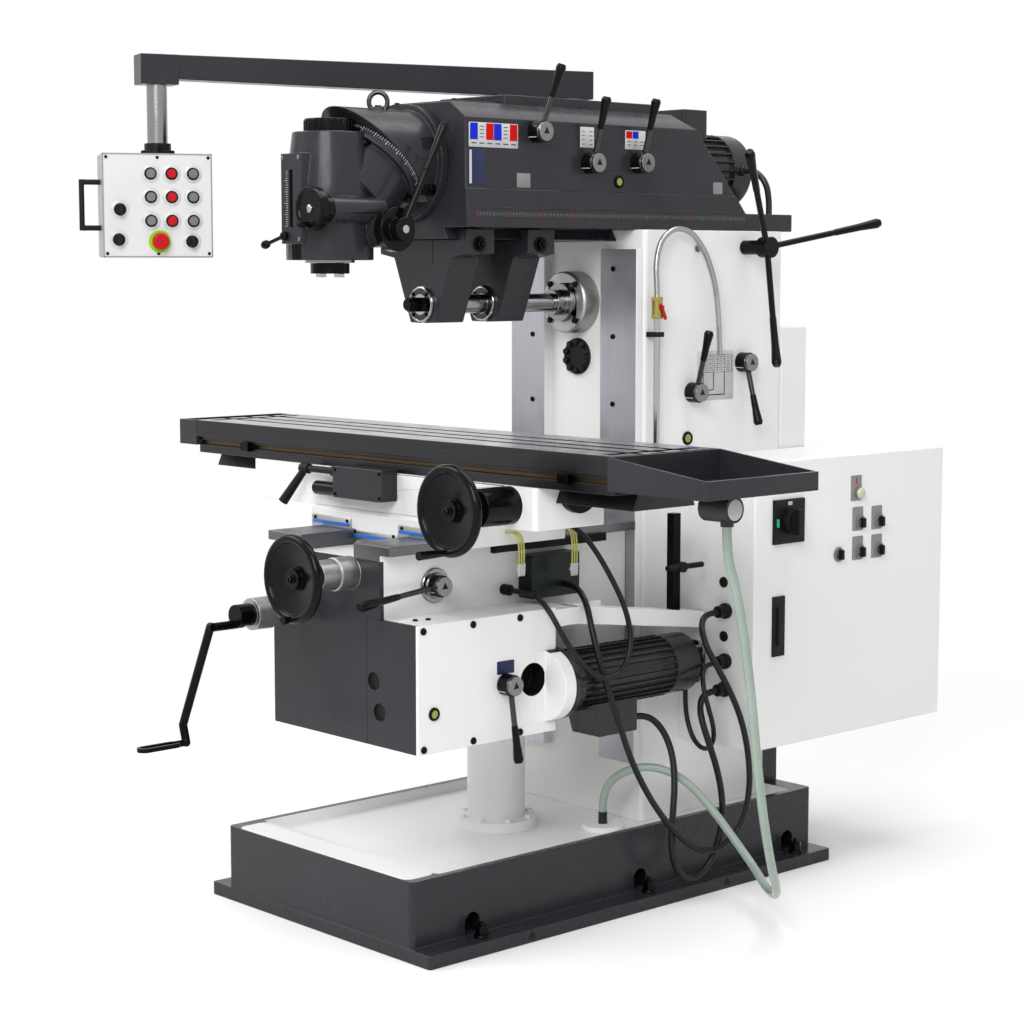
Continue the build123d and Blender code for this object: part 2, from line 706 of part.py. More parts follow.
def ram_cover():
    """Lid of the ram's gear chest, with the pendant arm's swivel boss and pin."""
    shape = block((-COVER_HALF_W, COVER_HALF_W), (COVER_FRONT, COVER_REAR), (RAM_TOP, COVER_TOP))
    shape = round_uprights(shape, 10)
    shape += rod_z(0, ARM_PIVOT_Y, (COVER_TOP, ARM_BOSS_TOP), ARM_BOSS_R)
    shape += rod_z(0, ARM_PIVOT_Y, (ARM_BOSS_TOP, ARM_TOP - 8), ARM_PIN_R)
    return shape


def ribbed_motor(x, z, y, core_r, fin_r, fins, fin_t):
    """Finned motor barrel along Y."""
    shape = rod_y(x, y, z, core_r)
    middle = (y[0] + y[1]) / 2
    blade = Box(fin_r - core_r + 4, y[1] - y[0], fin_t)
    for k in range(fins):
        turned = Rotation(0, 360 * k / fins, 0) * Pos((fin_r + core_r - 4) / 2, 0, 0) * blade
        shape += Pos(x, middle, z) * turned
    return shape


def ram_motor():
    """Motor behind the ram, with its fan cowl and terminal box."""
    z = RAM_AXIS_Z + 9
    barrel = (RAM_MOTOR_FRONT, RAM_MOTOR_REAR - 70)
    shape = ribbed_motor(0, z, barrel, RAM_MOTOR_R - 9, RAM_MOTOR_R, FIN_COUNT, FIN_T)
    cowl = rod_y(0, (RAM_MOTOR_REAR - 72, RAM_MOTOR_REAR), z, RAM_MOTOR_R)
    shape += fillet(cowl.faces().sort_by(Axis.Y)[-1].edges(), 12)
    shape += round_uprights(block((-52, 52), (484, 574), (z + RAM_MOTOR_R - 14, z + RAM_MOTOR_R + 58)), 8)
    shape += rod_x((RAM_MOTOR_R - 12, RAM_MOTOR_R + 16), 655, z, 13)
    return Compound([shape, cord("ram conduit", RAM_CONDUIT, RAM_CONDUIT_D)])


def capstan():
    """Three-spoke wheel that racks the ram along the column."""
    y, z = CAPSTAN_Y, CAPSTAN_Z
    out = CAPSTAN_X + CAPSTAN_HUB_L
    shape = rod_x((COL_HALF_W - SHAFT_SEAT + 1, CAPSTAN_X + 1), y, z, SHAFT_R - FIT)
    shape += rod_x((COL_HALF_W + FACE_GAP, CAPSTAN_X), y, z, CAPSTAN_HUB_R - 8)
    shape += rod_x((CAPSTAN_X, out), y, z, CAPSTAN_HUB_R)
    root = (CAPSTAN_X + CAPSTAN_HUB_L / 2, y, z)
    for k in range(CAPSTAN_SPOKES):
        angle = math.radians(CAPSTAN_FIRST + 360 / CAPSTAN_SPOKES * k)
        tip = (
            root[0] + CAPSTAN_LEAN,
            y + CAPSTAN_REACH * math.cos(angle),
            z + CAPSTAN_REACH * math.sin(angle),
        )
        shape += rod(root, tip, CAPSTAN_ROD_R)
        shape += turned_grip(between(root, tip, 0.6), tip, CAPSTAN_GRIP)
    return shape


def arbor_support(front):
    """Hanging bracket that clamps on the ram's dovetail and carries the arbor's bush."""
    groove = dovetail(DOVE_WIDE, DOVE_NARROW, DOVE_FLOOR, RAM_BOTTOM, WAY_GAP)
    outline = (
        (-SUPPORT_HALF_W, SUPPORT_TOP),
        (-SUPPORT_HALF_W, SUPPORT_EAR_Z),
        (-SUPPORT_WAIST, SUPPORT_WAIST_Z),
        (-SUPPORT_FOOT, SUPPORT_FOOT_Z),
        (SUPPORT_FOOT, SUPPORT_FOOT_Z),
        (SUPPORT_WAIST, SUPPORT_WAIST_Z),
        (SUPPORT_HALF_W, SUPPORT_EAR_Z),
        (SUPPORT_HALF_W, SUPPORT_TOP),
    )
    depth = (front, front + SUPPORT_DEPTH)
    shape = along_y(outline, depth)
    shape -= along_y(groove, (depth[0] - 1, depth[1] + 1))
    shape += rod_y(0, (front - BUSH_PROUD, front), SPINDLE_Z, BUSH_R)
    shape -= rod_y(0, (front - BUSH_PROUD - 1, depth[1] + 1), SPINDLE_Z, ARBOR_R + FIT)
    nut_y = front + SUPPORT_DEPTH * 0.45
    shape += rod_x((SUPPORT_HALF_W, SUPPORT_HALF_W + 12), nut_y, SUPPORT_EAR_Z + 22, 10)
    return shape


def mitre_disc(radius, start, depth):
    """Disc about the mitre axis, from a distance behind the joint, running back by depth."""
    turn = 1 / math.sqrt(2)
    low = (0, MITRE_Y + start * turn, RAM_AXIS_Z + start * turn)
    high = (0, low[1] + depth * turn, low[2] + depth * turn)
    return rod(low, high, radius)


def head_knuckle():
    """Elbow between the ram's ring and the mitre joint."""
    seat = RAM_FRONT - FACE_GAP
    shape = rod_y(0, (seat - KNUCKLE_FLANGE_T, seat), RAM_AXIS_Z, KNUCKLE_FLANGE_R)
    neck = rod_y(0, (seat - 260, seat), RAM_AXIS_Z, KNUCKLE_NECK_R)
    shape += neck & mitre_disc(MITRE_R + 60, 0, 300)
    shape += mitre_disc(MITRE_R, 0, MITRE_T)
    shape &= block((-400, 400), (RAM_FRONT - 400, seat), (RAM_AXIS_Z - 300, RAM_AXIS_Z + 300))
    top = RAM_AXIS_Z + KNUCKLE_NECK_R
    return shape - rod_z(0, EYE_Y, (top - EYE_SEAT, top + 1), EYE_FOOT_R + 1)


def lifting_eye():
    """Eyebolt on a spot face at the top of the elbow."""
    top = RAM_AXIS_Z + KNUCKLE_NECK_R
    ring = Plane(origin=(0, EYE_Y, top + EYE_R + 3), x_dir=(1, 0, 0), z_dir=(0, 1, 0))
    return ring * Torus(EYE_R, EYE_WIRE_R) + rod_z(0, EYE_Y, (top - EYE_SEAT, top + 3), EYE_FOOT_R)


def milling_head():
    """Vertical head behind the mitre joint: barrel, cap, scale pad and feed bosses."""
    shape = rod_z(0, HEAD_Y, (HEAD_LOW, HEAD_TAPER_Z), HEAD_R)
    shape += rod((0, HEAD_Y, HEAD_TAPER_Z), (0, HEAD_Y, HEAD_TOP), HEAD_R, HEAD_TOP_R)
    shape += rod_z(0, HEAD_Y, (HEAD_TOP, HEAD_TOP + HEAD_CAP_T), HEAD_CAP_R)
    shape += mitre_disc(MITRE_R, -FACE_GAP, -MITRE_T)
    shape += mitre_disc(MITRE_R - 14, -FACE_GAP, -118)
    pad_z = SCALE_PAD_Z
    shape += block((-SCALE_PAD_HALF_W, SCALE_PAD_HALF_W), (SCALE_PAD_FRONT, HEAD_Y), pad_z)
    slot_z = (pad_z[0] + 36, pad_z[1] - 36)
    shape -= block((-6, 6), (SCALE_PAD_FRONT - 1, SCALE_PAD_FRONT + 9), slot_z)
    shape += rod_z(0, SCALE_PAD_FRONT + 22, (HEAD_LOW, pad_z[0]), 19)
    shape += rod_y(FINE_X, (FINE_BACK, QUILL_SHAFT_Y), FINE_Z, 29)
    shape += rod_x((0, QUILL_BOSS_X), QUILL_SHAFT_Y, QUILL_SHAFT_Z, 40)
    shape &= block((-3 * HEAD_R, 3 * HEAD_R), (HEAD_Y - 3 * HEAD_R, 0), (HEAD_LOW, HEAD_TOP + 3 * HEAD_R))
    shape &= mitre_disc(5 * HEAD_R, -FACE_GAP, -7 * HEAD_R)
    shape -= rod_z(0, HEAD_Y, (HEAD_LOW - 1, QUILL_TOP + 6), QUILL_R + FIT)
    shape -= rod_y(FINE_X, (FINE_BACK - 1, FINE_BACK + SHAFT_SEAT), FINE_Z, SHAFT_R)
    shape -= rod_x((QUILL_BOSS_X - SHAFT_SEAT, QUILL_BOSS_X + 1), QUILL_SHAFT_Y, QUILL_SHAFT_Z, SHAFT_R)
    return shape


def quill():
    """Sleeve that feeds the vertical spindle down out of the head."""
    shape = rod_z(0, HEAD_Y, (QUILL_LOW, QUILL_TOP), QUILL_R)
    shape -= rod_z(0, HEAD_Y, (QUILL_LOW - 1, QUILL_TOP + 1), VSPINDLE_R + FIT)
    return shape


def vertical_spindle():
    """Spindle in the quill, with its tool nose, taper mouth and two drive keys."""
    shape = rod_z(0, HEAD_Y, (QUILL_LOW - FACE_GAP, QUILL_TOP - 4), VSPINDLE_R)
    shape += rod_z(0, HEAD_Y, (VSPINDLE_LOW, QUILL_LOW - FACE_GAP), VSPINDLE_NOSE_R)
    for side in (-1, 1):
        reach = sorted((side * 24, side * 42))
        shape += block(reach, (HEAD_Y - 8, HEAD_Y + 8), (VSPINDLE_LOW - 8, VSPINDLE_LOW + 2))
    mouth = rod((0, HEAD_Y, VSPINDLE_LOW - 1), (0, HEAD_Y, VSPINDLE_LOW + 70), 22, 12)
    return shape - mouth


def fine_feed_wheel():
    """Small handwheel that feeds the quill slowly."""
    hub = FINE_BACK - FACE_GAP
    shape = rod_y(FINE_X, (FINE_FRONT + 4, FINE_BACK + SHAFT_SEAT - 2), FINE_Z, SHAFT_R - FIT)
    shape += rod_y(FINE_X, (FINE_FRONT + 10, hub), FINE_Z, 30)
    shape += rod_y(FINE_X, (FINE_FRONT, FINE_FRONT + 18), FINE_Z, FINE_R)
    grip_z = FINE_Z - FINE_R + 14
    shape += rod((FINE_X, FINE_FRONT + 2, grip_z), (FINE_X, FINE_FRONT - 34, grip_z), 6, 8)
    return fillet(shape.faces().sort_by(Axis.Y)[1].edges().sort_by(SortBy.LENGTH)[-1], 4)


def quill_lever():
    """Lever and hub that run the quill down by rack and pinion."""
    y, z = QUILL_SHAFT_Y, QUILL_SHAFT_Z
    x = QUILL_BOSS_X
    shape = rod_x((x - SHAFT_SEAT + 2, x + 30), y, z, SHAFT_R - FIT)
    shape += rod_x((x + FACE_GAP, x + QUILL_DISC_T), y, z, QUILL_DISC_R)
    shape += rod_x((x + QUILL_DISC_T, x + QUILL_DISC_T + 26), y, z, 26)
    root = (x + QUILL_DISC_T + 14, y, z)
    shape += rod(root, QUILL_LEVER_TIP, 8)
    return shape + turned_grip(between(root, QUILL_LEVER_TIP, 0.55), QUILL_LEVER_TIP, QUILL_GRIP)


def pendant_plane():
    """Plane in the pendant's own directions: along its face, up, and out of its face."""
    turn = math.radians(PENDANT_TURN)
    along = (math.cos(turn), math.sin(turn), 0)
    out = (math.sin(turn), -math.cos(turn), 0)
    return Plane(origin=(POST_X, POST_Y, 0), x_dir=along, z_dir=out)


def pendant_spots():
    """Names and places on the face of the nine push buttons."""
    columns = ("left", "middle", "right")
    rows = ("upper", "centre", "lower")
    for column, t in zip(columns, BUTTON_COLS):
        for row, z in zip(rows, BUTTON_ROWS):
            yield f"button_{row}_{column}", t, z


def pendant_arm():
    """Box arm on the ram's swivel, with the drop post at its far end."""
    run = Vector(POST_X, POST_Y - ARM_PIVOT_Y)
    angle = math.degrees(math.atan2(run.Y, run.X))
    tip = run.length + 30
    side = ((-54, ARM_LOW), (54, ARM_LOW), (tip, ARM_LOW + ARM_TAPER), (tip, ARM_TOP), (-54, ARM_TOP))
    beam = along_y(side, (-ARM_W / 2, ARM_W / 2))
    foot = block((run.length - 44, run.length + 44), (-ARM_W / 2 - 3, ARM_W / 2 + 3), (ARM_LOW, ARM_TOP))
    shape = Pos(0, ARM_PIVOT_Y, 0) * Rotation(0, 0, angle) * (beam + foot)
    shape -= rod_z(0, ARM_PIVOT_Y, (ARM_LOW - 1, ARM_TOP - 6), ARM_PIN_R + FIT)
    collar_top = PENDANT_Z[1] + PENDANT_COLLAR_T
    shape += rod_z(POST_X, POST_Y, (collar_top + FACE_GAP, ARM_LOW), POST_R)
    shape += rod_z(POST_X, POST_Y, (collar_top - POST_PIN_L, ARM_LOW), POST_PIN_R)
    return shape


def pendant_box():
    """Pendant housing with its collar, bezels, control bores and side handle."""
    seat = pendant_plane()
    face = PENDANT_HALF_D
    case = block(PENDANT_T, PENDANT_Z, (-face, face))
    case = chamfer(case.edges().filter_by(Axis.Z), 4)
    handle_t = PENDANT_T[0] - 42
    handle_z = (PENDANT_Z[0] + 66, PENDANT_Z[0] + 168)
    for z in handle_z:
        case += rod_x((handle_t, PENDANT_T[0] + 2), z, 12, 6)
    case += rod_y(handle_t, (handle_z[0] - 6, handle_z[1] + 6), 12, 6)
    for _, t, z in pendant_spots():
        case += rod_z(t, z, (face, face + BEZEL_T), BEZEL_R)
        case -= rod_z(t, z, (face - BUTTON_HOLE, face + BEZEL_T + 1), BUTTON_R + FACE_GAP)
    for t, z in SELECTORS:
        case += rod_z(t, z, (face, face + BEZEL_T), BEZEL_R)
        case -= rod_z(t, z, (face - BUTTON_HOLE, face + BEZEL_T + 1), BUTTON_R + FIT)
    case += rod_z(*STOP_AT, (face, face + BEZEL_T), STOP_R + 6)
    case -= rod_z(*STOP_AT, (face - BUTTON_HOLE, face + BEZEL_T + 1), BUTTON_R + FACE_GAP)
    shape = seat * case
    top = PENDANT_Z[1]
    shape += rod_z(POST_X, POST_Y, (top - 1, top + PENDANT_COLLAR_T), PENDANT_COLLAR_R)
    shape -= rod_z(POST_X, POST_Y, (top - POST_PIN_L, top + PENDANT_COLLAR_T + 1), POST_PIN_R + FIT)
    return shape


def push_button(t, z):
    """Push button that stands proud of its bezel."""
    face = PENDANT_HALF_D
    return pendant_plane() * rod_z(t, z, (face - 18, face + BUTTON_PROUD), BUTTON_R)


def emergency_stop():
    """Mushroom button."""
    face = PENDANT_HALF_D + BEZEL_T
    shape = rod_z(*STOP_AT, (face - 20, face + 12), BUTTON_R)
    cap = rod_z(*STOP_AT, (face + 8, face + 24), STOP_R)
    return pendant_plane() * (shape + fillet(cap.faces().sort_by(Axis.Z)[-1].edges(), 5))


def selector(t, z):
    """Turning selector with its finger bar."""
    face = PENDANT_HALF_D
    shape = rod_z(t, z, (face - 20, face + BEZEL_T + 6), BUTTON_R)
    shape += block((t - 4, t + 4), (z - 12, z + 12), (face + BEZEL_T + FACE_GAP, face + BEZEL_T + 18))
    return pendant_plane() * shape


def knee_casting():
    """Knee with its saddle ways, the hollow for the lifting tube and the seat of the feed lever."""
    half = KNEE_HALF_W
    depth = (KNEE_FRONT, GUIDE_FACE - WAY_GAP)
    shape = block((-half, half), depth, (KNEE_LOW, KNEE_TOP))
    way_y = (PLATE_FRONT, GUIDE_FACE - WAY_GAP)
    for side in (-1, 1):
        shape += block(sorted((side * WAY_IN, side * half)), way_y, (KNEE_TOP, WAY_TOP))
        shape += block(sorted((side * half, side * WAY_OUT)), way_y, (WAY_LOW, WAY_TOP))
    pocket = (-KNEE_POCKET_HALF_W, KNEE_POCKET_HALF_W)
    shape -= block(pocket, (KNEE_FRONT - 1, SCREW_Y - 150), (KNEE_LOW + 36, KNEE_TOP - 40))
    shape -= block(pocket, (SCREW_Y - 116, SCREW_Y + 200), (KNEE_LOW - 1, LIFT_POCKET_TOP))
    return shape - lever_seat(half, *FEED_LEVER)


def feed_gearbox():
    """Feed gearbox on the knee's right side with its screwed lid and the motor's adapter."""
    x = (KNEE_HALF_W, GEARBOX_RIGHT - GEARBOX_LID_T)
    shape = block(x, (KNEE_FRONT, GEARBOX_REAR), (KNEE_LOW, GEARBOX_TOP))
    lid = block((x[1], GEARBOX_RIGHT), (PLATE_FRONT, GEARBOX_REAR), (KNEE_LOW, GEARBOX_TOP))
    for y in LID_SCREW_YS:
        for z in (GEARBOX_TOP - 12, KNEE_LOW + 12):
            lid += rod_x((GEARBOX_RIGHT - 1, GEARBOX_RIGHT + 4), y, z, 8)
    adapter = rod_y(MOTOR_X, (GEARBOX_REAR - ADAPTER_L, GEARBOX_REAR), MOTOR_Z, MOTOR_FLANGE_R)
    hole = rod_x((GEARBOX_RIGHT - SIGHT_HOLE_D, GEARBOX_RIGHT + 1), *SIGHT_HOLE, SIGHT_HOLE_R)
    seat = lever_seat(GEARBOX_RIGHT, *GEAR_LEVER)
    yield shape + adapter - hole - seat
    yield lid - adapter - hole - seat


def motor_guard():
    """Sheet guard over the feed motor, on its bracket, with the knee stop's post."""
    shape = along_x(
        (
            (GUARD_FRONT, GUARD_Z[0]),
            (GUARD_REAR, GUARD_Z[1]),
            (GUARD_REAR, GUARD_Z[1] - GUARD_T),
            (GUARD_FRONT, GUARD_Z[0] - GUARD_T),
        ),
        (GUARD_LEFT, GEARBOX_RIGHT),
    )
    shape += along_x(
        (
            (GUARD_FRONT, GUARD_Z[0]),
            (GUARD_REAR, GUARD_Z[1]),
            (GUARD_REAR, GUARD_Z[1] - GUARD_SKIRT),
            (GUARD_FRONT, GUARD_Z[0] - GUARD_SKIRT),
        ),
        (GEARBOX_RIGHT - GUARD_T, GEARBOX_RIGHT),
    )
    shape += block((KNEE_HALF_W, GUARD_LEFT + 2), (GUARD_FRONT, -20), (GUARD_Z[0] - 40, GUARD_Z[0] - 28))
    shape += block((GUARD_LEFT, GUARD_LEFT + 6), (GUARD_FRONT, -20), (GUARD_Z[0] - 40, GUARD_Z[0] - 2))
    skirt_z = (GUARD_Z[0] - GUARD_SKIRT, GUARD_Z[0])
    shape += block((KNEE_HALF_W, GEARBOX_RIGHT), (GEARBOX_REAR, GUARD_FRONT + 1), skirt_z)
    fall = (GUARD_Z[1] - GUARD_Z[0]) / (GUARD_REAR - GUARD_FRONT)
    foot_z = GUARD_Z[0] + fall * (STOP_POST_Y - GUARD_FRONT)
    w = STOP_POST_W / 2
    shape += block(
        (STOP_POST_X - w, STOP_POST_X + w),
        (STOP_POST_Y - w, STOP_POST_Y + w),
        (foot_z - 4, STOP_POST_TOP),
    )
    return shape - rod_x((STOP_POST_X - w - 1, STOP_POST_X + w + 1), STOP_POST_Y, CLAMP_Z, 8)


def knee_fittings():
    """Limit switch box, table cable's gland and the saddle's trip bar on the knee's side."""
    half = KNEE_HALF_W
    switch = block((half, half + SWITCH_DEPTH), SWITCH_Y, SWITCH_Z)
    yield fillet(switch.edges().filter_by(Axis.X), 6)
    yield rod_x((half, TABLE_CABLE[-1][0]), *TABLE_CABLE[-1][1:], 13)
    yield block((WAY_OUT, WAY_OUT + 12), TRIP_Y, (WAY_LOW - 16, WAY_LOW + 4))


def knee_front_cover():
    """Dark sheet over the knee's front, cut for the wheel and crank shafts."""
    outline = (
        (COVER_LEFT, KNEE_LOW),
        (GEARBOX_RIGHT - GEARBOX_LID_T, KNEE_LOW),
        (GEARBOX_RIGHT - GEARBOX_LID_T, GEARBOX_TOP),
        (KNEE_HALF_W, GEARBOX_TOP),
        (KNEE_HALF_W, KNEE_TOP),
        (COVER_LEFT, KNEE_TOP),
    )
    shape = along_y(outline, (PLATE_FRONT, KNEE_FRONT))
    seam = block(
        (COVER_SEAM - FACE_GAP / 2, GEARBOX_RIGHT),
        (PLATE_FRONT - 1, KNEE_FRONT + 1),
        (KNEE_LOW - 1, GEARBOX_TOP),
    )
    side_plate = shape & block(
        (COVER_SEAM + FACE_GAP / 2, GEARBOX_RIGHT),
        (PLATE_FRONT, KNEE_FRONT),
        (KNEE_LOW, GEARBOX_TOP - FACE_GAP),
    )
    shape -= seam
    wheel_x, wheel_z = SADDLE_WHEEL
    crank_x, crank_z = CRANK
    dial_y = (PLATE_FRONT - SADDLE_DIAL_L, PLATE_FRONT - SADDLE_DIAL_L / 2)
    shape += rod_y(wheel_x, dial_y, wheel_z, SADDLE_DIAL_R - 3)
    shape += rod_y(wheel_x, (dial_y[1], PLATE_FRONT), wheel_z, SADDLE_DIAL_R)
    shape += rod_y(crank_x, (CRANK_SLEEVE_FRONT, PLATE_FRONT), crank_z, 26)
    for (x, z), front in ((SADDLE_WHEEL, PLATE_FRONT - SADDLE_DIAL_L), (CRANK, CRANK_SLEEVE_FRONT)):
        shape -= rod_y(x, (front - 1, front + SHAFT_SEAT + 30), z, SHAFT_R)
    for x, z in COVER_HOLES:
        side_plate -= rod_y(x, (PLATE_FRONT - 1, PLATE_FRONT + 6), z, COVER_HOLE_R)
    return Compound([shape, side_plate])


def shaft_wheel(spot, y, front, grip_l):
    """Handwheel on a shaft that enters the boss ending at front."""
    x, z = spot
    shape = handwheel(x, y, z, front - FACE_GAP, grip_l)
    return shape + rod_y(x, (y, front + SHAFT_SEAT), z, SHAFT_R - FIT)


def knee_crank():
    """Bent crank that turns the lifting screw, with its dial and ring handle."""
    x, z = CRANK
    end_x, end_z = CRANK_END
    back = CRANK_SLEEVE_FRONT
    shape = rod_y(x, (CRANK_HUB_FRONT, back + SHAFT_SEAT), z, SHAFT_R - FIT)
    shape += rod_y(x, (CRANK_DIAL_FRONT, back - FACE_GAP), z, CRANK_DIAL_R)
    shape += rod_y(x, (CRANK_HUB_FRONT, CRANK_DIAL_FRONT), z, 26)
    bend = (x - CRANK_BEND, CRANK_ARM_Y, z - CRANK_DROP)
    knee = (end_x - CRANK_BEND, CRANK_ARM_Y, end_z + CRANK_HEEL)
    end = (end_x, CRANK_ARM_Y, end_z)
    shape += rod_y(x, (CRANK_ARM_Y, CRANK_HUB_FRONT), z - CRANK_DROP, CRANK_BAR_R)
    shape += rod_y(x, (CRANK_HUB_FRONT, CRANK_HUB_FRONT + 20), z - CRANK_DROP / 2, CRANK_DROP)
    for start, stop in (((x, CRANK_ARM_Y, z - CRANK_DROP), bend), (bend, knee), (knee, end)):
        shape += rod(start, stop, CRANK_BAR_R) + Pos(*stop) * Sphere(CRANK_BAR_R)
    grip_y = CRANK_ARM_Y - CRANK_GRIP_L
    ring = SlotCenterToCenter(CRANK_GRIP_L - 48, 36) - SlotCenterToCenter(CRANK_GRIP_L - 48, 20)
    loop = extrude(Plane.XY * Rotation(0, 0, 90) * ring, 5, both=True)
    shape += rod_y(end_x, (CRANK_ARM_Y - 34, CRANK_ARM_Y), end_z, CRANK_BAR_R - 2)
    return shape + Pos(end_x, (CRANK_ARM_Y - 26 + grip_y) / 2, end_z) * loop


def knee_clamp():
    """T-handle that clamps the knee."""
    x = STOP_POST_X + STOP_POST_W / 2
    shape = rod_x((STOP_POST_X - STOP_POST_W / 2, x + 18), STOP_POST_Y, CLAMP_Z, 8 - FIT)
    shape += rod_x((x + FACE_GAP, x + 24), STOP_POST_Y, CLAMP_Z, 13)
    return shape + rod_y(x + 14, (STOP_POST_Y - 50, STOP_POST_Y + 74), CLAMP_Z, 7)


def feed_motor():
    """Feed motor with flange, cooling fins, fan cowl, brake and terminal box."""
    body = (GEARBOX_REAR + MOTOR_FLANGE_T, MOTOR_BODY_REAR)
    shape = rod_y(MOTOR_X, (GEARBOX_REAR, body[0]), MOTOR_Z, MOTOR_FLANGE_R)
    shape += ribbed_motor(MOTOR_X, MOTOR_Z, body, MOTOR_R, FIN_R, FIN_COUNT, FIN_T)
    shape += rod_y(MOTOR_X, (MOTOR_BODY_REAR - 2, FAN_REAR), MOTOR_Z, FIN_R - 2)
    shape += rod_y(MOTOR_X, (body[0], body[0] + MOTOR_BELL_T), MOTOR_Z, FIN_R)
    shape += rod_y(MOTOR_X, (FAN_REAR - 2, BRAKE_REAR), MOTOR_Z, BRAKE_CORE_R)
    half = BRAKE_PLATE_W / 2
    for y in (FAN_REAR + BRAKE_PLATE_T, BRAKE_REAR):
        plate = block(
            (MOTOR_X - half, MOTOR_X + half), (y - BRAKE_PLATE_T, y), (MOTOR_Z - half, MOTOR_Z + half)
        )
        shape += chamfer(plate.edges().filter_by(Axis.Y), 18)
    for side in (-1, 1):
        for lift in (-1, 1):
            spot = half - 14
            shape += rod_y(MOTOR_X + side * spot, (FAN_REAR, BRAKE_REAR + 6), MOTOR_Z + lift * spot, 5)
    box_z = (MOTOR_Z - FIN_R - 62, MOTOR_Z - MOTOR_R + 10)
    box = along_x(
        ((-130, box_z[1]), (-105, box_z[0]), (20, box_z[0]), (20, box_z[1])),
        (MOTOR_X - 46, MOTOR_X + 46),
    )
    gland = rod_z(MOTOR_X, BRAKE_CABLE[0][1], (BRAKE_CABLE[0][2], MOTOR_Z - 20), 8)
    return shape + box + gland


def lift_tube():
    """Pedestal tube that holds the nut of the lifting screw."""
    shape = rod_z(0, SCREW_Y, (PAN_Z, TUBE_TOP), TUBE_R)
    shape += rod_z(0, SCREW_Y, (PAN_Z, PAN_Z + TUBE_FLANGE_T), TUBE_FLANGE_R)
    for k in range(8):
        angle = math.radians(45 * k + 22.5)
        spot = (86 * math.cos(angle), SCREW_Y + 86 * math.sin(angle))
        shape += rod_z(*spot, (PAN_Z + TUBE_FLANGE_T, PAN_Z + TUBE_FLANGE_T + 8), 8)
    shape -= rod_z(0, SCREW_Y, (PAN_Z - 1, TUBE_TOP - 60), TUBE_BORE_R)
    return shape - rod_z(0, SCREW_Y, (PAN_Z - 1, TUBE_TOP + 1), SCREW_R + FIT)


def elevating_screw():
    """Screw that hangs from the knee into the pedestal tube, with its drive gear."""
    shape = rod_z(0, SCREW_Y, (SCREW_LOW, LIFT_POCKET_TOP), SCREW_R)
    return shape + rod_z(0, SCREW_Y, (LIFT_POCKET_TOP - 26, LIFT_POCKET_TOP), 70)


def saddle():
    """Cross slide on the knee's ways, with its way wipers."""
    y = (SADDLE_FRONT, SADDLE_REAR)
    shape = block((-SADDLE_HALF_W, SADDLE_HALF_W), y, (WAY_TOP + FACE_GAP, SADDLE_TOP))
    tongue = WAY_IN - WAY_GAP
    shape += block((-tongue, tongue), y, (KNEE_TOP + 4, WAY_TOP + 1))
    for side in (-1, 1):
        leg = sorted((side * (WAY_OUT + WAY_GAP), side * SADDLE_HALF_W))
        shape += block(leg, y, (WAY_LOW + 6, WAY_TOP + 1))
    shape = chamfer(shape.faces().sort_by(Axis.Z)[-1].edges(), 8)
    shape -= rod_z(0, TABLE_MID_Y, (SADDLE_TOP - PIVOT_DEPTH, SADDLE_TOP + 1), PIVOT_R)
    return shape


def swivel_base():
    """Turntable that carries the table's dovetail and its feed trip on the front."""
    groove = [
        (TABLE_MID_Y + t, z)
        for t, z in dovetail(SLIDE_WIDE, SLIDE_NARROW, SLIDE_FLOOR, TABLE_LOW + 1, WAY_GAP)
    ]
    plan = (
        (-SWIVEL_HALF_L, SWIVEL_FRONT),
        (SWIVEL_HALF_L, SWIVEL_FRONT),
        (SWIVEL_HALF_L, TABLE_MID_Y + 52),
        (SWIVEL_HALF_L - 130, SWIVEL_REAR),
        (-SWIVEL_HALF_L + 130, SWIVEL_REAR),
        (-SWIVEL_HALF_L, TABLE_MID_Y + 52),
    )
    shape = round_uprights(along_z(plan, (SWIVEL_LOW, TABLE_LOW - WAY_GAP)), 12)
    shape -= along_x(groove, (-SWIVEL_HALF_L - 1, SWIVEL_HALF_L + 1))
    shape += rod_z(0, TABLE_MID_Y, (SADDLE_TOP - PIVOT_DEPTH + 1, SWIVEL_LOW + 1), PIVOT_R - FIT)
    cap_x = (SWIVEL_HALF_L, SWIVEL_HALF_L + 18)
    cap = rod_x(cap_x, TABLE_MID_Y - 36, TABLE_LOW - 6, 56)
    cap_y = (TABLE_FRONT, TABLE_REAR)
    cap &= block(cap_x, cap_y, (SADDLE_TOP - PIVOT_DEPTH, TABLE_LOW - 6))
    cap -= block(cap_x, cap_y, (SLIDE_FLOOR - 2, TABLE_LOW))
    trip_z = (SWIVEL_LOW + TRIP_BOX_RISE, TABLE_LOW + TRIP_BOX_LAP)
    trip = block((-136, 48), (SWIVEL_FRONT - 46, SWIVEL_FRONT), trip_z)
    trip = fillet(trip.edges().filter_by(Axis.Y), 6)
    trip += rod_x((-226, -130), SWIVEL_FRONT - 22, trip_z[0] + 15, 17)
    trip -= rod_x((-137, -137 + SHAFT_SEAT), SWIVEL_FRONT - 26, LOCK_Z, 8)
    hub = rod_y(TABLE_WHEEL[0], (SWIVEL_FRONT - TABLE_HUB_L, SWIVEL_FRONT), TABLE_WHEEL[1], TABLE_HUB_R)
    seat = (SWIVEL_FRONT - TABLE_HUB_L - 1, SWIVEL_FRONT - TABLE_HUB_L + SHAFT_SEAT + 30)
    hub -= rod_y(TABLE_WHEEL[0], seat, TABLE_WHEEL[1], SHAFT_R)
    return Compound([shape + hub, cap, trip])


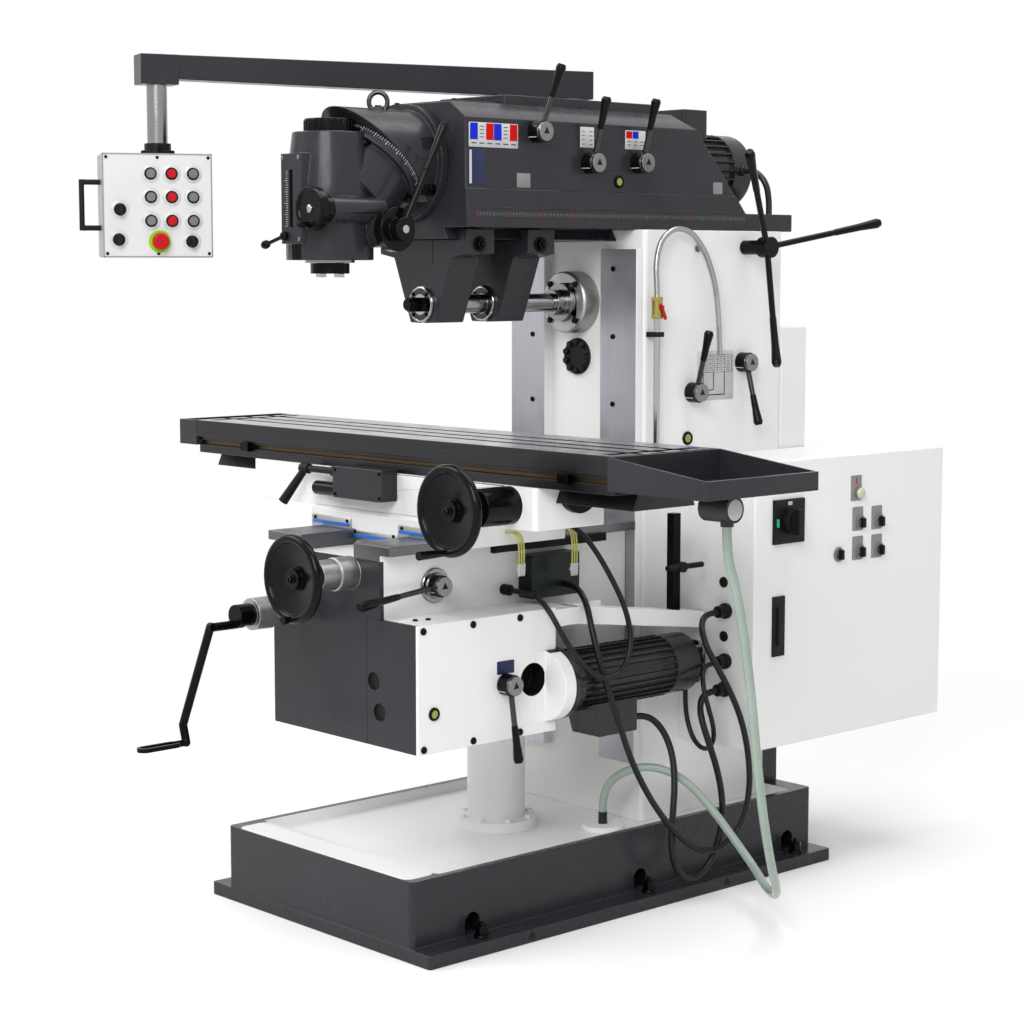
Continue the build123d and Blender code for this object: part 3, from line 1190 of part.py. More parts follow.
def lock_lever():
    """Bent lever that engages the table feed."""
    y, z = SWIVEL_FRONT - 26, LOCK_Z
    shape = rod_x((-264, -137 + SHAFT_SEAT - 2), y, z, 8 - FIT)
    shape += rod_x((-160, -137 - FACE_GAP), y, z, 12)
    shape += rod_x((-280, -250), y, z, 12)
    return shape + rod((-266, y, z), (-312, y - 34, z - 82), 9, 12)


def table():
    """Work table with T-slots, coolant channels, dovetail and trip rail."""
    y = (TABLE_FRONT, TABLE_REAR)
    shape = block(TABLE_X, y, (BAND_LOW, TABLE_TOP))
    inner = (TABLE_FRONT + RAIL_INSET, TABLE_REAR - RAIL_INSET)
    shape += block(TABLE_X, inner, (TABLE_LOW, BAND_LOW))
    male = [
        (TABLE_MID_Y + t, z)
        for t, z in dovetail(SLIDE_WIDE, SLIDE_NARROW, SLIDE_FLOOR + WAY_GAP, TABLE_LOW, 0)
    ]
    shape += along_x(male, TABLE_X)
    past = (TABLE_X[0] - 1, TABLE_X[1] + 1)
    neck_z = TABLE_TOP - SLOT_NECK_D
    for k in range(SLOT_COUNT):
        mid = TABLE_MID_Y + SLOT_PITCH * (k - (SLOT_COUNT - 1) / 2)
        shape -= block(past, (mid - SLOT_NECK / 2, mid + SLOT_NECK / 2), (neck_z - 1, TABLE_TOP + 1))
        shape -= block(past, (mid - SLOT_WIDE / 2, mid + SLOT_WIDE / 2), (neck_z - SLOT_WIDE_D, neck_z))
    for x in (TABLE_X[0] + CHANNEL_INSET, TABLE_X[1] - CHANNEL_INSET - CHANNEL_W):
        across = (TABLE_FRONT + 24, TABLE_REAR - 24)
        shape -= block((x, x + CHANNEL_W), across, (TABLE_TOP - CHANNEL_D, TABLE_TOP + 1))
    groove_y = (TABLE_FRONT + RAIL_INSET - 1, TABLE_FRONT + RAIL_INSET + 9)
    shape -= block(past, groove_y, (DOG_Z[0] + 6, DOG_Z[1] - 5))
    dogs = []
    for x in DOG_XS:
        dogs.append(block((x - 16, x + 16), (TABLE_FRONT - 4, TABLE_FRONT + RAIL_INSET), DOG_Z))
    end = rod_x((TABLE_X[0] - SCREW_END_T, TABLE_X[0]), TABLE_MID_Y, SPOUT_Z + 8, SCREW_END_R)
    return Compound([shape, *dogs, end])


def table_trays():
    """Coolant tray with its drain on the right end, and the closed cap on the left end."""
    x = (TABLE_X[1], TABLE_X[1] + TRAY_L)
    outline = ((x[0], TRAY_LOW), (x[1], TRAY_LOW), (x[1], TRAY_LIP), (x[0], TABLE_TOP - 1))
    half = TRAY_HALF_W
    tray = along_y(outline, (TABLE_MID_Y - half, TABLE_MID_Y + half))
    inside = (
        (x[0] + TRAY_T, TRAY_LOW + TRAY_T),
        (x[1] - TRAY_T, TRAY_LOW + TRAY_T),
        (x[1] - TRAY_T, TABLE_TOP + 9),
        (x[0] + TRAY_T, TABLE_TOP + 9),
    )
    tray -= along_y(inside, (TABLE_MID_Y - half + TRAY_T, TABLE_MID_Y + half - TRAY_T))
    tray += rod_x(SPOUT_X, TABLE_MID_Y, SPOUT_Z, SPOUT_R)
    tray += rod_z(SPOUT_STEM_X, TABLE_MID_Y, (SPOUT_Z - SPOUT_R - 8, TRAY_LOW + 1), SPOUT_STEM_R)
    cap_x = (TABLE_X[0] - END_CAP_L, TABLE_X[0])
    cap = block(cap_x, (TABLE_FRONT, TABLE_REAR), (END_CAP_LOW, TABLE_TOP - 1))
    hollow_y = (TABLE_FRONT + 8, TABLE_REAR - 8)
    cap -= block((cap_x[0] + 8, cap_x[1] + 1), hollow_y, (END_CAP_LOW + 8, TABLE_TOP))
    return Compound([tray, cap])


def cabinet_box():
    """Electrical cabinet shell with its hinge barrels."""
    shape = block(CAB_X, CAB_Y, CAB_Z)
    shape -= block(
        (CAB_X[0] + CAB_T, CAB_X[1] + 1),
        (CAB_Y[0] + CAB_T, CAB_Y[1] - CAB_T),
        (CAB_Z[0] + CAB_T, CAB_Z[1] - CAB_T),
    )
    hinge_y = CAB_Y[1] + HINGE_OUT
    for mid in (CAB_Z[0] + 110, CAB_Z[1] - 110):
        barrel = (mid - HINGE_L / 2, mid)
        shape += rod_z(CAB_X[1], hinge_y, barrel, HINGE_R)
        shape += block((CAB_X[1] - 10, CAB_X[1]), (CAB_Y[1] - 1, hinge_y), barrel)
        shape += rod_z(CAB_X[1], hinge_y, (mid, mid + HINGE_L / 2), HINGE_R / 2)
    return shape


def cable_glands():
    """Screwed glands on the cabinet's front face, one for each cable."""
    for z in GLAND_ZS:
        gland = rod_y(GLAND_X, (CAB_Y[0] - GLAND_L, CAB_Y[0]), z, GLAND_R)
        yield gland + rod_y(GLAND_X, (CAB_Y[0] - 12, CAB_Y[0]), z, GLAND_R + 4)


def contactor_panel():
    """Mounting plate in the cabinet with rows of contactors, relays and the transformer."""
    y = (CAB_Y[0] + 34, CAB_Y[1] - 34)
    z = (CAB_Z[0] + 40, CAB_Z[1] - 40)
    shape = block((PANEL_X, PANEL_X + PANEL_T), y, z)
    back = CAB_X[0] + CAB_T
    for py in y:
        for pz in z:
            inset = (py + math.copysign(20, sum(y) / 2 - py), pz + math.copysign(20, sum(z) / 2 - pz))
            shape += rod_x((back, PANEL_X + 1), *inset, 8)
    front = PANEL_X + PANEL_T
    for row, (count, width, height, depth) in enumerate(((7, 70, 84, 88), (9, 54, 80, 70), (12, 40, 60, 52))):
        low = z[1] - 130 - row * 150
        for k in range(count):
            start = y[0] + 24 + k * (width + 4)
            shape += block((front - 1, front + depth), (start, start + width), (low, low + height))
    shape += block((front - 1, front + 110), (y[1] - 190, y[1] - 40), (z[0] + 20, z[0] + 130))
    return shape


def cabinet_door():
    """Cabinet door with its folded rim, hinge knuckles, latch, lamp and knobs."""
    x = (DOOR_IN, DOOR_OUT)
    shape = chamfer(block(x, CAB_Y, CAB_Z).faces().sort_by(Axis.X)[-1].edges(), 3)
    shape -= block(
        (DOOR_IN - 1, DOOR_OUT - DOOR_SKIN),
        (CAB_Y[0] + DOOR_RIM, CAB_Y[1] - DOOR_RIM),
        (CAB_Z[0] + DOOR_RIM, CAB_Z[1] - DOOR_RIM),
    )
    hinge_y = CAB_Y[1] + HINGE_OUT
    for mid in (CAB_Z[0] + 110, CAB_Z[1] - 110):
        barrel = (mid + FACE_GAP, mid + HINGE_L / 2)
        shape += rod_z(CAB_X[1], hinge_y, barrel, HINGE_R)
        shape += block((CAB_X[1] + 1, CAB_X[1] + HINGE_R), (CAB_Y[1] - 1, hinge_y), barrel)
        shape -= rod_z(CAB_X[1], hinge_y, (mid, mid + HINGE_L), HINGE_R / 2 + FIT)
    skin = DOOR_OUT - 1
    shape += block((skin, DOOR_OUT + 5), LATCH_Y, LATCH_Z)
    grip_y = (LATCH_Y[0] + 14, LATCH_Y[1] - 14)
    shape += block((skin, DOOR_OUT + 11), grip_y, (LATCH_Z[0] + 26, LATCH_Z[1] - 26))
    for y, z in DOOR_KNOBS:
        shape += rod_x((skin, DOOR_OUT + 6), y, z, 15)
        shape += block((skin, DOOR_OUT + 18), (y - 4, y + 4), (z - 12, z + 12))
    shape += rod_x((skin, DOOR_OUT + 12), *DOOR_LAMP, 13)
    y, z = SWITCH_AT
    shape += block((skin, DOOR_OUT + 8), (y - 56, y + 56), (z - 54, z + 54))
    shape -= rod_x((DOOR_OUT - DOOR_SKIN - 1, DOOR_OUT + 9), y, z, SHAFT_R)
    return shape


def main_switch():
    """Turning handle of the main switch."""
    y, z = SWITCH_AT
    face = DOOR_OUT + 8
    shape = rod_x((DOOR_OUT - DOOR_SKIN - 14, face + 20), y, z, SHAFT_R - FIT)
    shape += rod_x((face + FACE_GAP, face + 18), y, z, 30)
    return shape + block((face + 12, face + 38), (y - 10, y + 10), (z - 32, z + 32))


def coolant_pipe():
    """Coolant riser on the column with its valve body, clip and bent outlet."""
    shape = rod_z(PIPE_X, PIPE_Y, (PIPE_LOW, VALVE_Z[0] + 1), PIPE_R)
    shape += rod_x((COL_HALF_W, PIPE_X), PIPE_Y, PIPE_LOW + PIPE_R, PIPE_R)
    shape += rod_z(PIPE_X, PIPE_Y, VALVE_Z, VALVE_R)
    shape += block((COL_HALF_W, PIPE_X + 12), (PIPE_Y - 13, PIPE_Y + 13), (CLIP_Z - 6, CLIP_Z + 6))
    valve_mid = sum(VALVE_Z) / 2
    route = (
        (PIPE_X, PIPE_Y, VALVE_Z[1] - 2),
        (PIPE_X, PIPE_Y - 5, 1530),
        (PIPE_X, PIPE_Y + 12, 1583),
        (PIPE_X, PIPE_Y + 62, 1612),
        (PIPE_X, PIPE_Y + 120, 1602),
        (PIPE_X, PIPE_Y + 168, 1556),
        (PIPE_X, PIPE_Y + 206, 1480),
        (PIPE_X, PIPE_Y + 220, 1395),
        (PIPE_X, PIPE_Y + 226, 1302),
    )
    shape += cord("gooseneck", route, 2 * GOOSENECK_R)
    shape -= rod_x((PIPE_X, PIPE_X + VALVE_R + 1), PIPE_Y, valve_mid, 5)
    return shape


def valve_lever():
    """Small lever that opens the coolant valve."""
    z = sum(VALVE_Z) / 2
    x = PIPE_X + VALVE_R
    shape = rod_x((PIPE_X + 2, x + 8), PIPE_Y, z, 5 - FIT)
    return shape + block((x + FACE_GAP, x + 6), (PIPE_Y - 7, PIPE_Y + 7), (z - 38, z + 8))


def group(*shapes):
    """Several solids that share one node."""
    return Compound([solid for shape in shapes for solid in shape.solids()])


def lever_tip(x, y, z, out, along, up):
    """End point of a shift lever, from its place on a face."""
    return (x + out, y + along, z + up)


NODES = {
    "base_casting": base_casting(),
    "column_casting": group(column_casting(), spindle_cap()),
    "arbor": arbor(),
    "lift_tube": lift_tube(),
    "coolant_pipe": coolant_pipe(),
    "valve_lever": valve_lever(),
    "cabinet_box": group(cabinet_box(), contactor_panel(), *cable_glands()),
    "cabinet_door": cabinet_door(),
    "main_switch": main_switch(),
    "capstan": capstan(),
    "ram_body": group(ram_body(), ram_cover()),
    "ram_motor": ram_motor(),
    "front_arbor_support": arbor_support(SUPPORT_FRONTS[0]),
    "rear_arbor_support": arbor_support(SUPPORT_FRONTS[1]),
    "head_knuckle": group(head_knuckle(), lifting_eye()),
    "milling_head": milling_head(),
    "quill": quill(),
    "vertical_spindle": vertical_spindle(),
    "fine_feed_wheel": fine_feed_wheel(),
    "quill_lever": quill_lever(),
    "pendant_arm": pendant_arm(),
    "pendant_box": pendant_box(),
    "emergency_stop": emergency_stop(),
    "knee_casting": knee_casting(),
    "feed_gearbox": group(*feed_gearbox(), motor_guard(), *knee_fittings()),
    "knee_front_cover": knee_front_cover(),
    "feed_motor": feed_motor(),
    "elevating_screw": elevating_screw(),
    "saddle_handwheel": shaft_wheel(
        SADDLE_WHEEL, SADDLE_WHEEL_Y, PLATE_FRONT - SADDLE_DIAL_L, SADDLE_GRIP_L
    ),
    "knee_crank": knee_crank(),
    "knee_clamp": knee_clamp(),
    "saddle": saddle(),
    "swivel_base": swivel_base(),
    "table_handwheel": shaft_wheel(TABLE_WHEEL, TABLE_WHEEL_Y, SWIVEL_FRONT - TABLE_HUB_L, TABLE_GRIP_L),
    "lock_lever": lock_lever(),
    "table": table(),
    "table_trays": table_trays(),
    "switch_cable": cord("switch cable", SWITCH_CABLE, SWITCH_CABLE_D),
    "motor_cable": group(
        cord("motor cable", MOTOR_CABLE, MOTOR_CABLE_D), cord("brake cable", BRAKE_CABLE, BRAKE_CABLE_D)
    ),
    "table_cable": cord("table cable", TABLE_CABLE, TABLE_CABLE_D),
    "drain_hose": cord("drain hose", DRAIN_HOSE, DRAIN_HOSE_D),
}
for button_name, button_t, button_z in pendant_spots():
    NODES[button_name] = push_button(button_t, button_z)
for side, (spot_t, spot_z) in zip(("upper", "lower_left", "lower_right"), SELECTORS):
    NODES[f"selector_{side}"] = selector(spot_t, spot_z)
RAM_REACH = ((62, 26, 152), (58, 4, 152), (58, 6, 150))
for place, (y, z), reach in zip(("front", "middle", "rear"), RAM_LEVER_SPOTS, RAM_REACH):
    NODES[f"ram_lever_{place}"] = shift_lever(RAM_HALF_W, y, z, lever_tip(RAM_HALF_W, y, z, *reach))
for place, (y, z), reach in zip(("front", "rear"), COL_LEVERS, ((56, 4, 152), (56, 6, -156))):
    NODES[f"column_lever_{place}"] = shift_lever(COL_HALF_W, y, z, lever_tip(COL_HALF_W, y, z, *reach))
NODES["gear_lever"] = shift_lever(
    GEARBOX_RIGHT, *GEAR_LEVER, lever_tip(GEARBOX_RIGHT, *GEAR_LEVER, 40, 6, -176)
)
NODES["feed_lever"] = shift_lever(
    KNEE_HALF_W, *FEED_LEVER, lever_tip(KNEE_HALF_W, *FEED_LEVER, 56, -262, -18)
)

os.makedirs("parts", exist_ok=True)
for node, solid in NODES.items():
    export_step(solid, f"parts/{node}.step")
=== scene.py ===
"""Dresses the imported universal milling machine: finishes, fine pieces, cords, light and camera."""

import json
import logging
import math
from dataclasses import dataclass
from enum import Enum
from typing import Optional, Sequence

import bpy
from mathutils import Matrix, Vector

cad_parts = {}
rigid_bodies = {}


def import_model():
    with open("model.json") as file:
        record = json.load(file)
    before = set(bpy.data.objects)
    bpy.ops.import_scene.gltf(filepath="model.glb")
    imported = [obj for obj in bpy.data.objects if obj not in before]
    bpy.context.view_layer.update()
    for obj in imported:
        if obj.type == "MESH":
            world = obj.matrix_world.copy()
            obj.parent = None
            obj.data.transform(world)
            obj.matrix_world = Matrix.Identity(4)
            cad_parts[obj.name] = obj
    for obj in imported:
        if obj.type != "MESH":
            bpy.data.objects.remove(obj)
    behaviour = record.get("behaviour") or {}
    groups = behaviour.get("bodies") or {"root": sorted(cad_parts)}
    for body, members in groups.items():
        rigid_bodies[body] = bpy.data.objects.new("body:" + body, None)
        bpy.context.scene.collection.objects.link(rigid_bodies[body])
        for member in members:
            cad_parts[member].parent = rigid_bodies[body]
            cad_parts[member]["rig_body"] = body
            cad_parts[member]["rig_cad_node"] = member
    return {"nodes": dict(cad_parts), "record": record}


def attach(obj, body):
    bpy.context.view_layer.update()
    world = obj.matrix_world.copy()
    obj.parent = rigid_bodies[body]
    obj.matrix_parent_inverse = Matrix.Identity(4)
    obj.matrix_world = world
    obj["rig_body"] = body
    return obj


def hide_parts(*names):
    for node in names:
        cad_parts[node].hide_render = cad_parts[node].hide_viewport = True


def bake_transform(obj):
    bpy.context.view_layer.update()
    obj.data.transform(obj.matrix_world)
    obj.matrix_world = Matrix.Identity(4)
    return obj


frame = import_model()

MM = 0.001
LOG = logging.getLogger("milling_machine")
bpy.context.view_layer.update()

# Points that lie nearer to each other than this, in metres, are merged.
MERGE_DISTANCE = 0.00001
# Edges of castings and tubes that turn by more than this stay creased.
CREASE_ANGLE = math.radians(50)
# Edges of castings that turn by more than this are rounded.
SHARP_ANGLE = math.radians(38)
# Two sharp edges that meet at less than 32 degrees run into a sliver.
SLIVER_COSINE = math.cos(math.radians(32))
# A face looks a given way when its normal's share of that way is above this.
FACING_COSINE = 0.9
# Thickness of the plates on the machine's sides, in millimetres.
PLATE_THICK = 1.2

Pair = tuple[float, float]
Triple = tuple[float, float, float]
Box = tuple[Triple, Triple]
Profile = Sequence[Pair]
Piece = bpy.types.Object
Socket = bpy.types.NodeSocket


class Grain(Enum):
    """Direction in which a machined surface was ground."""

    ALONG_X = (7.0, 700.0, 700.0)
    ALONG_Y = (700.0, 7.0, 700.0)
    ALONG_Z = (700.0, 700.0, 7.0)
    NONE = (260.0, 260.0, 260.0)


class Run(Enum):
    """Way that a curve follows its points."""

    SMOOTH = "NURBS"
    STRAIGHT = "POLY"


class Side(Enum):
    """Way that a face of the machine looks."""

    RIGHT = (1.0, 0.0, 0.0)
    LEFT = (-1.0, 0.0, 0.0)
    FRONT = (0.0, -1.0, 0.0)
    BACK = (0.0, 1.0, 0.0)
    UP = (0.0, 0.0, 1.0)


class Bench:
    """Node layout of one material, with short calls for the nodes that the finishes share."""

    def __init__(self, name: str) -> None:
        """Starts a material with a shader and its output.

        Args:
            name: Name of the material.
        """
        self.material = bpy.data.materials.new(name)
        self.material.use_nodes = True
        self.tree = self.material.node_tree
        self.tree.nodes.clear()
        self.shader = self.node("ShaderNodeBsdfPrincipled")
        self.out = self.node("ShaderNodeOutputMaterial")
        self.join(self.shader.outputs["BSDF"], self.out.inputs["Surface"])
        self.place = self.node("ShaderNodeTexCoord").outputs["Object"]

    def node(self, kind: str) -> bpy.types.Node:
        """Adds one node of a kind."""
        return self.tree.nodes.new(kind)

    def join(self, source: Socket, target: Socket) -> None:
        """Links two sockets."""
        self.tree.links.new(source, target)

    def stretched(self, scale: Triple) -> Socket:
        """Scales object coordinates apart on each axis.

        Args:
            scale: Factor on each axis.

        Returns:
            The scaled coordinates' socket.
        """
        mapping = self.node("ShaderNodeMapping")
        mapping.inputs["Scale"].default_value = scale
        self.join(self.place, mapping.inputs["Vector"])
        return mapping.outputs["Vector"]

    def noise(self, scale: float, detail: float = 3.0, vector: Optional[Socket] = None) -> Socket:
        """Makes a noise value between 0 and 1.

        Args:
            scale: Cells to the metre, or to the unit of the vector.
            detail: Octaves.
            vector: Coordinates, or the object's own.

        Returns:
            The noise node's value socket.
        """
        made = self.node("ShaderNodeTexNoise")
        made.inputs["Scale"].default_value = scale
        made.inputs["Detail"].default_value = detail
        self.join(vector or self.place, made.inputs["Vector"])
        return made.outputs["Fac"]

    def span(self, value: Socket, low: float, high: float, start: float = 0.3, end: float = 0.7) -> Socket:
        """Maps a value from start and end to low and high.

        Args:
            value: Socket to map.
            low: Result at start.
            high: Result at end.
            start: Input that gives low.
            end: Input that gives high.

        Returns:
            The mapped value's socket.
        """
        made = self.node("ShaderNodeMapRange")
        for name, number in (("From Min", start), ("From Max", end), ("To Min", low), ("To Max", high)):
            made.inputs[name].default_value = number
        self.join(value, made.inputs["Value"])
        return made.outputs["Result"]

    def blend(self, share: Socket, first: Triple, second: Triple) -> Socket:
        """Mixes two colours.

        Args:
            share: Share of the second colour.
            first: Colour at 0.
            second: Colour at 1.

        Returns:
            The mixed colour's socket.
        """
        made = self.node("ShaderNodeMix")
        made.data_type = "RGBA"
        made.inputs[6].default_value = (*first, 1.0)
        made.inputs[7].default_value = (*second, 1.0)
        self.join(share, made.inputs["Factor"])
        return made.outputs[2]

    def wave(self, scale: float) -> Socket:
        """Makes bands up the object.

        Args:
            scale: Scale of the bands.

        Returns:
            The band value's socket, from 0 to 1.
        """
        made = self.node("ShaderNodeTexWave")
        made.bands_direction = "Z"
        made.inputs["Scale"].default_value = scale
        self.join(self.place, made.inputs["Vector"])
        return made.outputs["Fac"]

    def colour(self, share: Socket, shades: tuple[Triple, Triple]) -> None:
        """Colours the shader between two shades by a share."""
        self.join(self.blend(share, *shades), self.shader.inputs["Base Color"])

    def roughen(self, value: Socket, low: float, high: float) -> None:
        """Spreads the shader's roughness from low to high by a value."""
        self.join(self.span(value, low, high), self.shader.inputs["Roughness"])

    def bump(self, height: Socket, strength: float, depth: float) -> None:
        """Adds a bump to the shader's normal.

        Args:
            height: Socket of the relief, from 0 to 1.
            strength: Share of the relief that shows.
            depth: Depth of the relief in metres.
        """
        made = self.node("ShaderNodeBump")
        made.inputs["Strength"].default_value = strength
        made.inputs["Distance"].default_value = depth
        self.join(height, made.inputs["Height"])
        self.join(made.outputs["Normal"], self.shader.inputs["Normal"])

    def settings(self, **values: float) -> None:
        """Sets plain numbers on the shader's own sockets, by their names with underscores."""
        for name, value in values.items():
            self.shader.inputs[name.replace("_", " ")].default_value = value


@dataclass(frozen=True)
class Finish:
    """Surface finish that makes its material once."""

    name: str
    colour: Triple
    roughness: float = 0.4

    def material(self) -> bpy.types.Material:
        """Returns the finish's material, made on first use."""
        found = bpy.data.materials.get(self.name)
        return found or self.make()

    def make(self) -> bpy.types.Material:
        """Builds the material."""
        raise NotImplementedError

    def shades(self, spread: float) -> tuple[Triple, Triple]:
        """Spreads the colour into two shades.

        Args:
            spread: Share of the colour that each shade lies off it.

        Returns:
            The darker and the lighter shade.
        """
        low = tuple(c * (1 - spread) for c in self.colour)
        high = tuple(min(1.0, c * (1 + spread)) for c in self.colour)
        return low, high


@dataclass(frozen=True)
class MachinePaint(Finish):
    """Sprayed machine enamel over a filled casting."""

    peel: float = 0.05
    cloud: float = 0.06
    gloss: float = 0.5
    uneven: float = 0.05
    cloud_cells: float = 5.0
    gloss_cells: float = 38.0
    peel_cells: float = 420.0
    peel_depth: float = 0.0006

    def make(self) -> bpy.types.Material:
        """Builds enamel with soft clouding, uneven gloss and an orange-peel skin.

        Returns:
            The material.
        """
        bench = Bench(self.name)
        bench.colour(bench.span(bench.noise(self.cloud_cells, 4.0), 0.0, 1.0), self.shades(self.cloud))
        gloss = bench.noise(self.gloss_cells)
        bench.roughen(gloss, self.roughness - self.uneven, self.roughness + self.uneven)
        bench.bump(bench.noise(self.peel_cells, 2.0), self.peel, self.peel_depth)
        bench.settings(Specular_IOR_Level=self.gloss)
        return bench.material


@dataclass(frozen=True)
class Machined(Finish):
    """Bare ground or turned metal with fine lines."""

    grain: Grain = Grain.NONE
    lines: float = 0.12
    spread: float = 0.14
    line_depth: float = 0.0002
    rub_cells: float = 16.0
    rubbed: float = 0.05
    dulled: float = 0.08

    def make(self) -> bpy.types.Material:
        """Builds metal with streaks along its grain in colour and bump, rubbed brighter in places.

        Returns:
            The material.
        """
        bench = Bench(self.name)
        bench.settings(Metallic=1.0)
        streak = bench.noise(1.0, 4.0, bench.stretched(self.grain.value))
        bench.colour(bench.span(streak, 0.0, 1.0), self.shades(self.spread))
        bench.roughen(bench.noise(self.rub_cells), self.roughness - self.rubbed, self.roughness + self.dulled)
        bench.bump(streak, self.lines, self.line_depth)
        return bench.material


@dataclass(frozen=True)
class Moulded(Finish):
    """Moulded plastic or rubber with a fine skin."""

    skin: float = 0.08
    coat: float = 0.0
    cells: float = 900.0
    gloss: float = 0.5
    spread: float = 0.08
    shade_cells: float = 30.0
    touch_cells: float = 55.0
    rubbed: float = 0.04
    dulled: float = 0.07
    skin_depth: float = 0.0003
    coat_roughness: float = 0.06

    def make(self) -> bpy.types.Material:
        """Builds plastic with a faint texture and handling marks in its gloss.

        Returns:
            The material.
        """
        bench = Bench(self.name)
        bench.colour(bench.span(bench.noise(self.shade_cells), 0.0, 1.0), self.shades(self.spread))
        touch = bench.noise(self.touch_cells, 4.0)
        bench.roughen(touch, self.roughness - self.rubbed, self.roughness + self.dulled)
        bench.bump(bench.noise(self.cells, 2.0), self.skin, self.skin_depth)
        bench.settings(
            Specular_IOR_Level=self.gloss,
            Coat_Weight=self.coat,
            Coat_Roughness=self.coat_roughness,
        )
        return bench.material


@dataclass(frozen=True)
class Ringed(Finish):
    """Metal hose wound from fine rings."""

    rings: float = 400.0
    spread: float = 0.3
    relief: float = 0.2
    ring_depth: float = 0.0006

    def make(self) -> bpy.types.Material:
        """Builds bright metal with a ring pattern up the hose in colour and bump.

        Returns:
            The material.
        """
        bench = Bench(self.name)
        bench.settings(Metallic=1.0, Roughness=self.roughness)
        wave = bench.wave(self.rings)
        bench.colour(wave, self.shades(self.spread))
        bench.bump(wave, self.relief, self.ring_depth)
        return bench.material


@dataclass(frozen=True)
class MilkyTube(Finish):
    """Cloudy see-through hose."""

    spread: float = 0.05
    cloud_cells: float = 14.0
    clear: float = 0.35
    refraction: float = 1.35
    skin_cells: float = 120.0
    skin: float = 0.06
    skin_depth: float = 0.0005

    def make(self) -> bpy.types.Material:
        """Builds plastic that lets part of the light through, with cloudy stretches.

        Returns:
            The material.
        """
        bench = Bench(self.name)
        bench.colour(bench.span(bench.noise(self.cloud_cells), 0.0, 1.0), self.shades(self.spread))
        bench.settings(Roughness=self.roughness, Transmission_Weight=self.clear, IOR=self.refraction)
        bench.bump(bench.noise(self.skin_cells, 2.0), self.skin, self.skin_depth)
        return bench.material


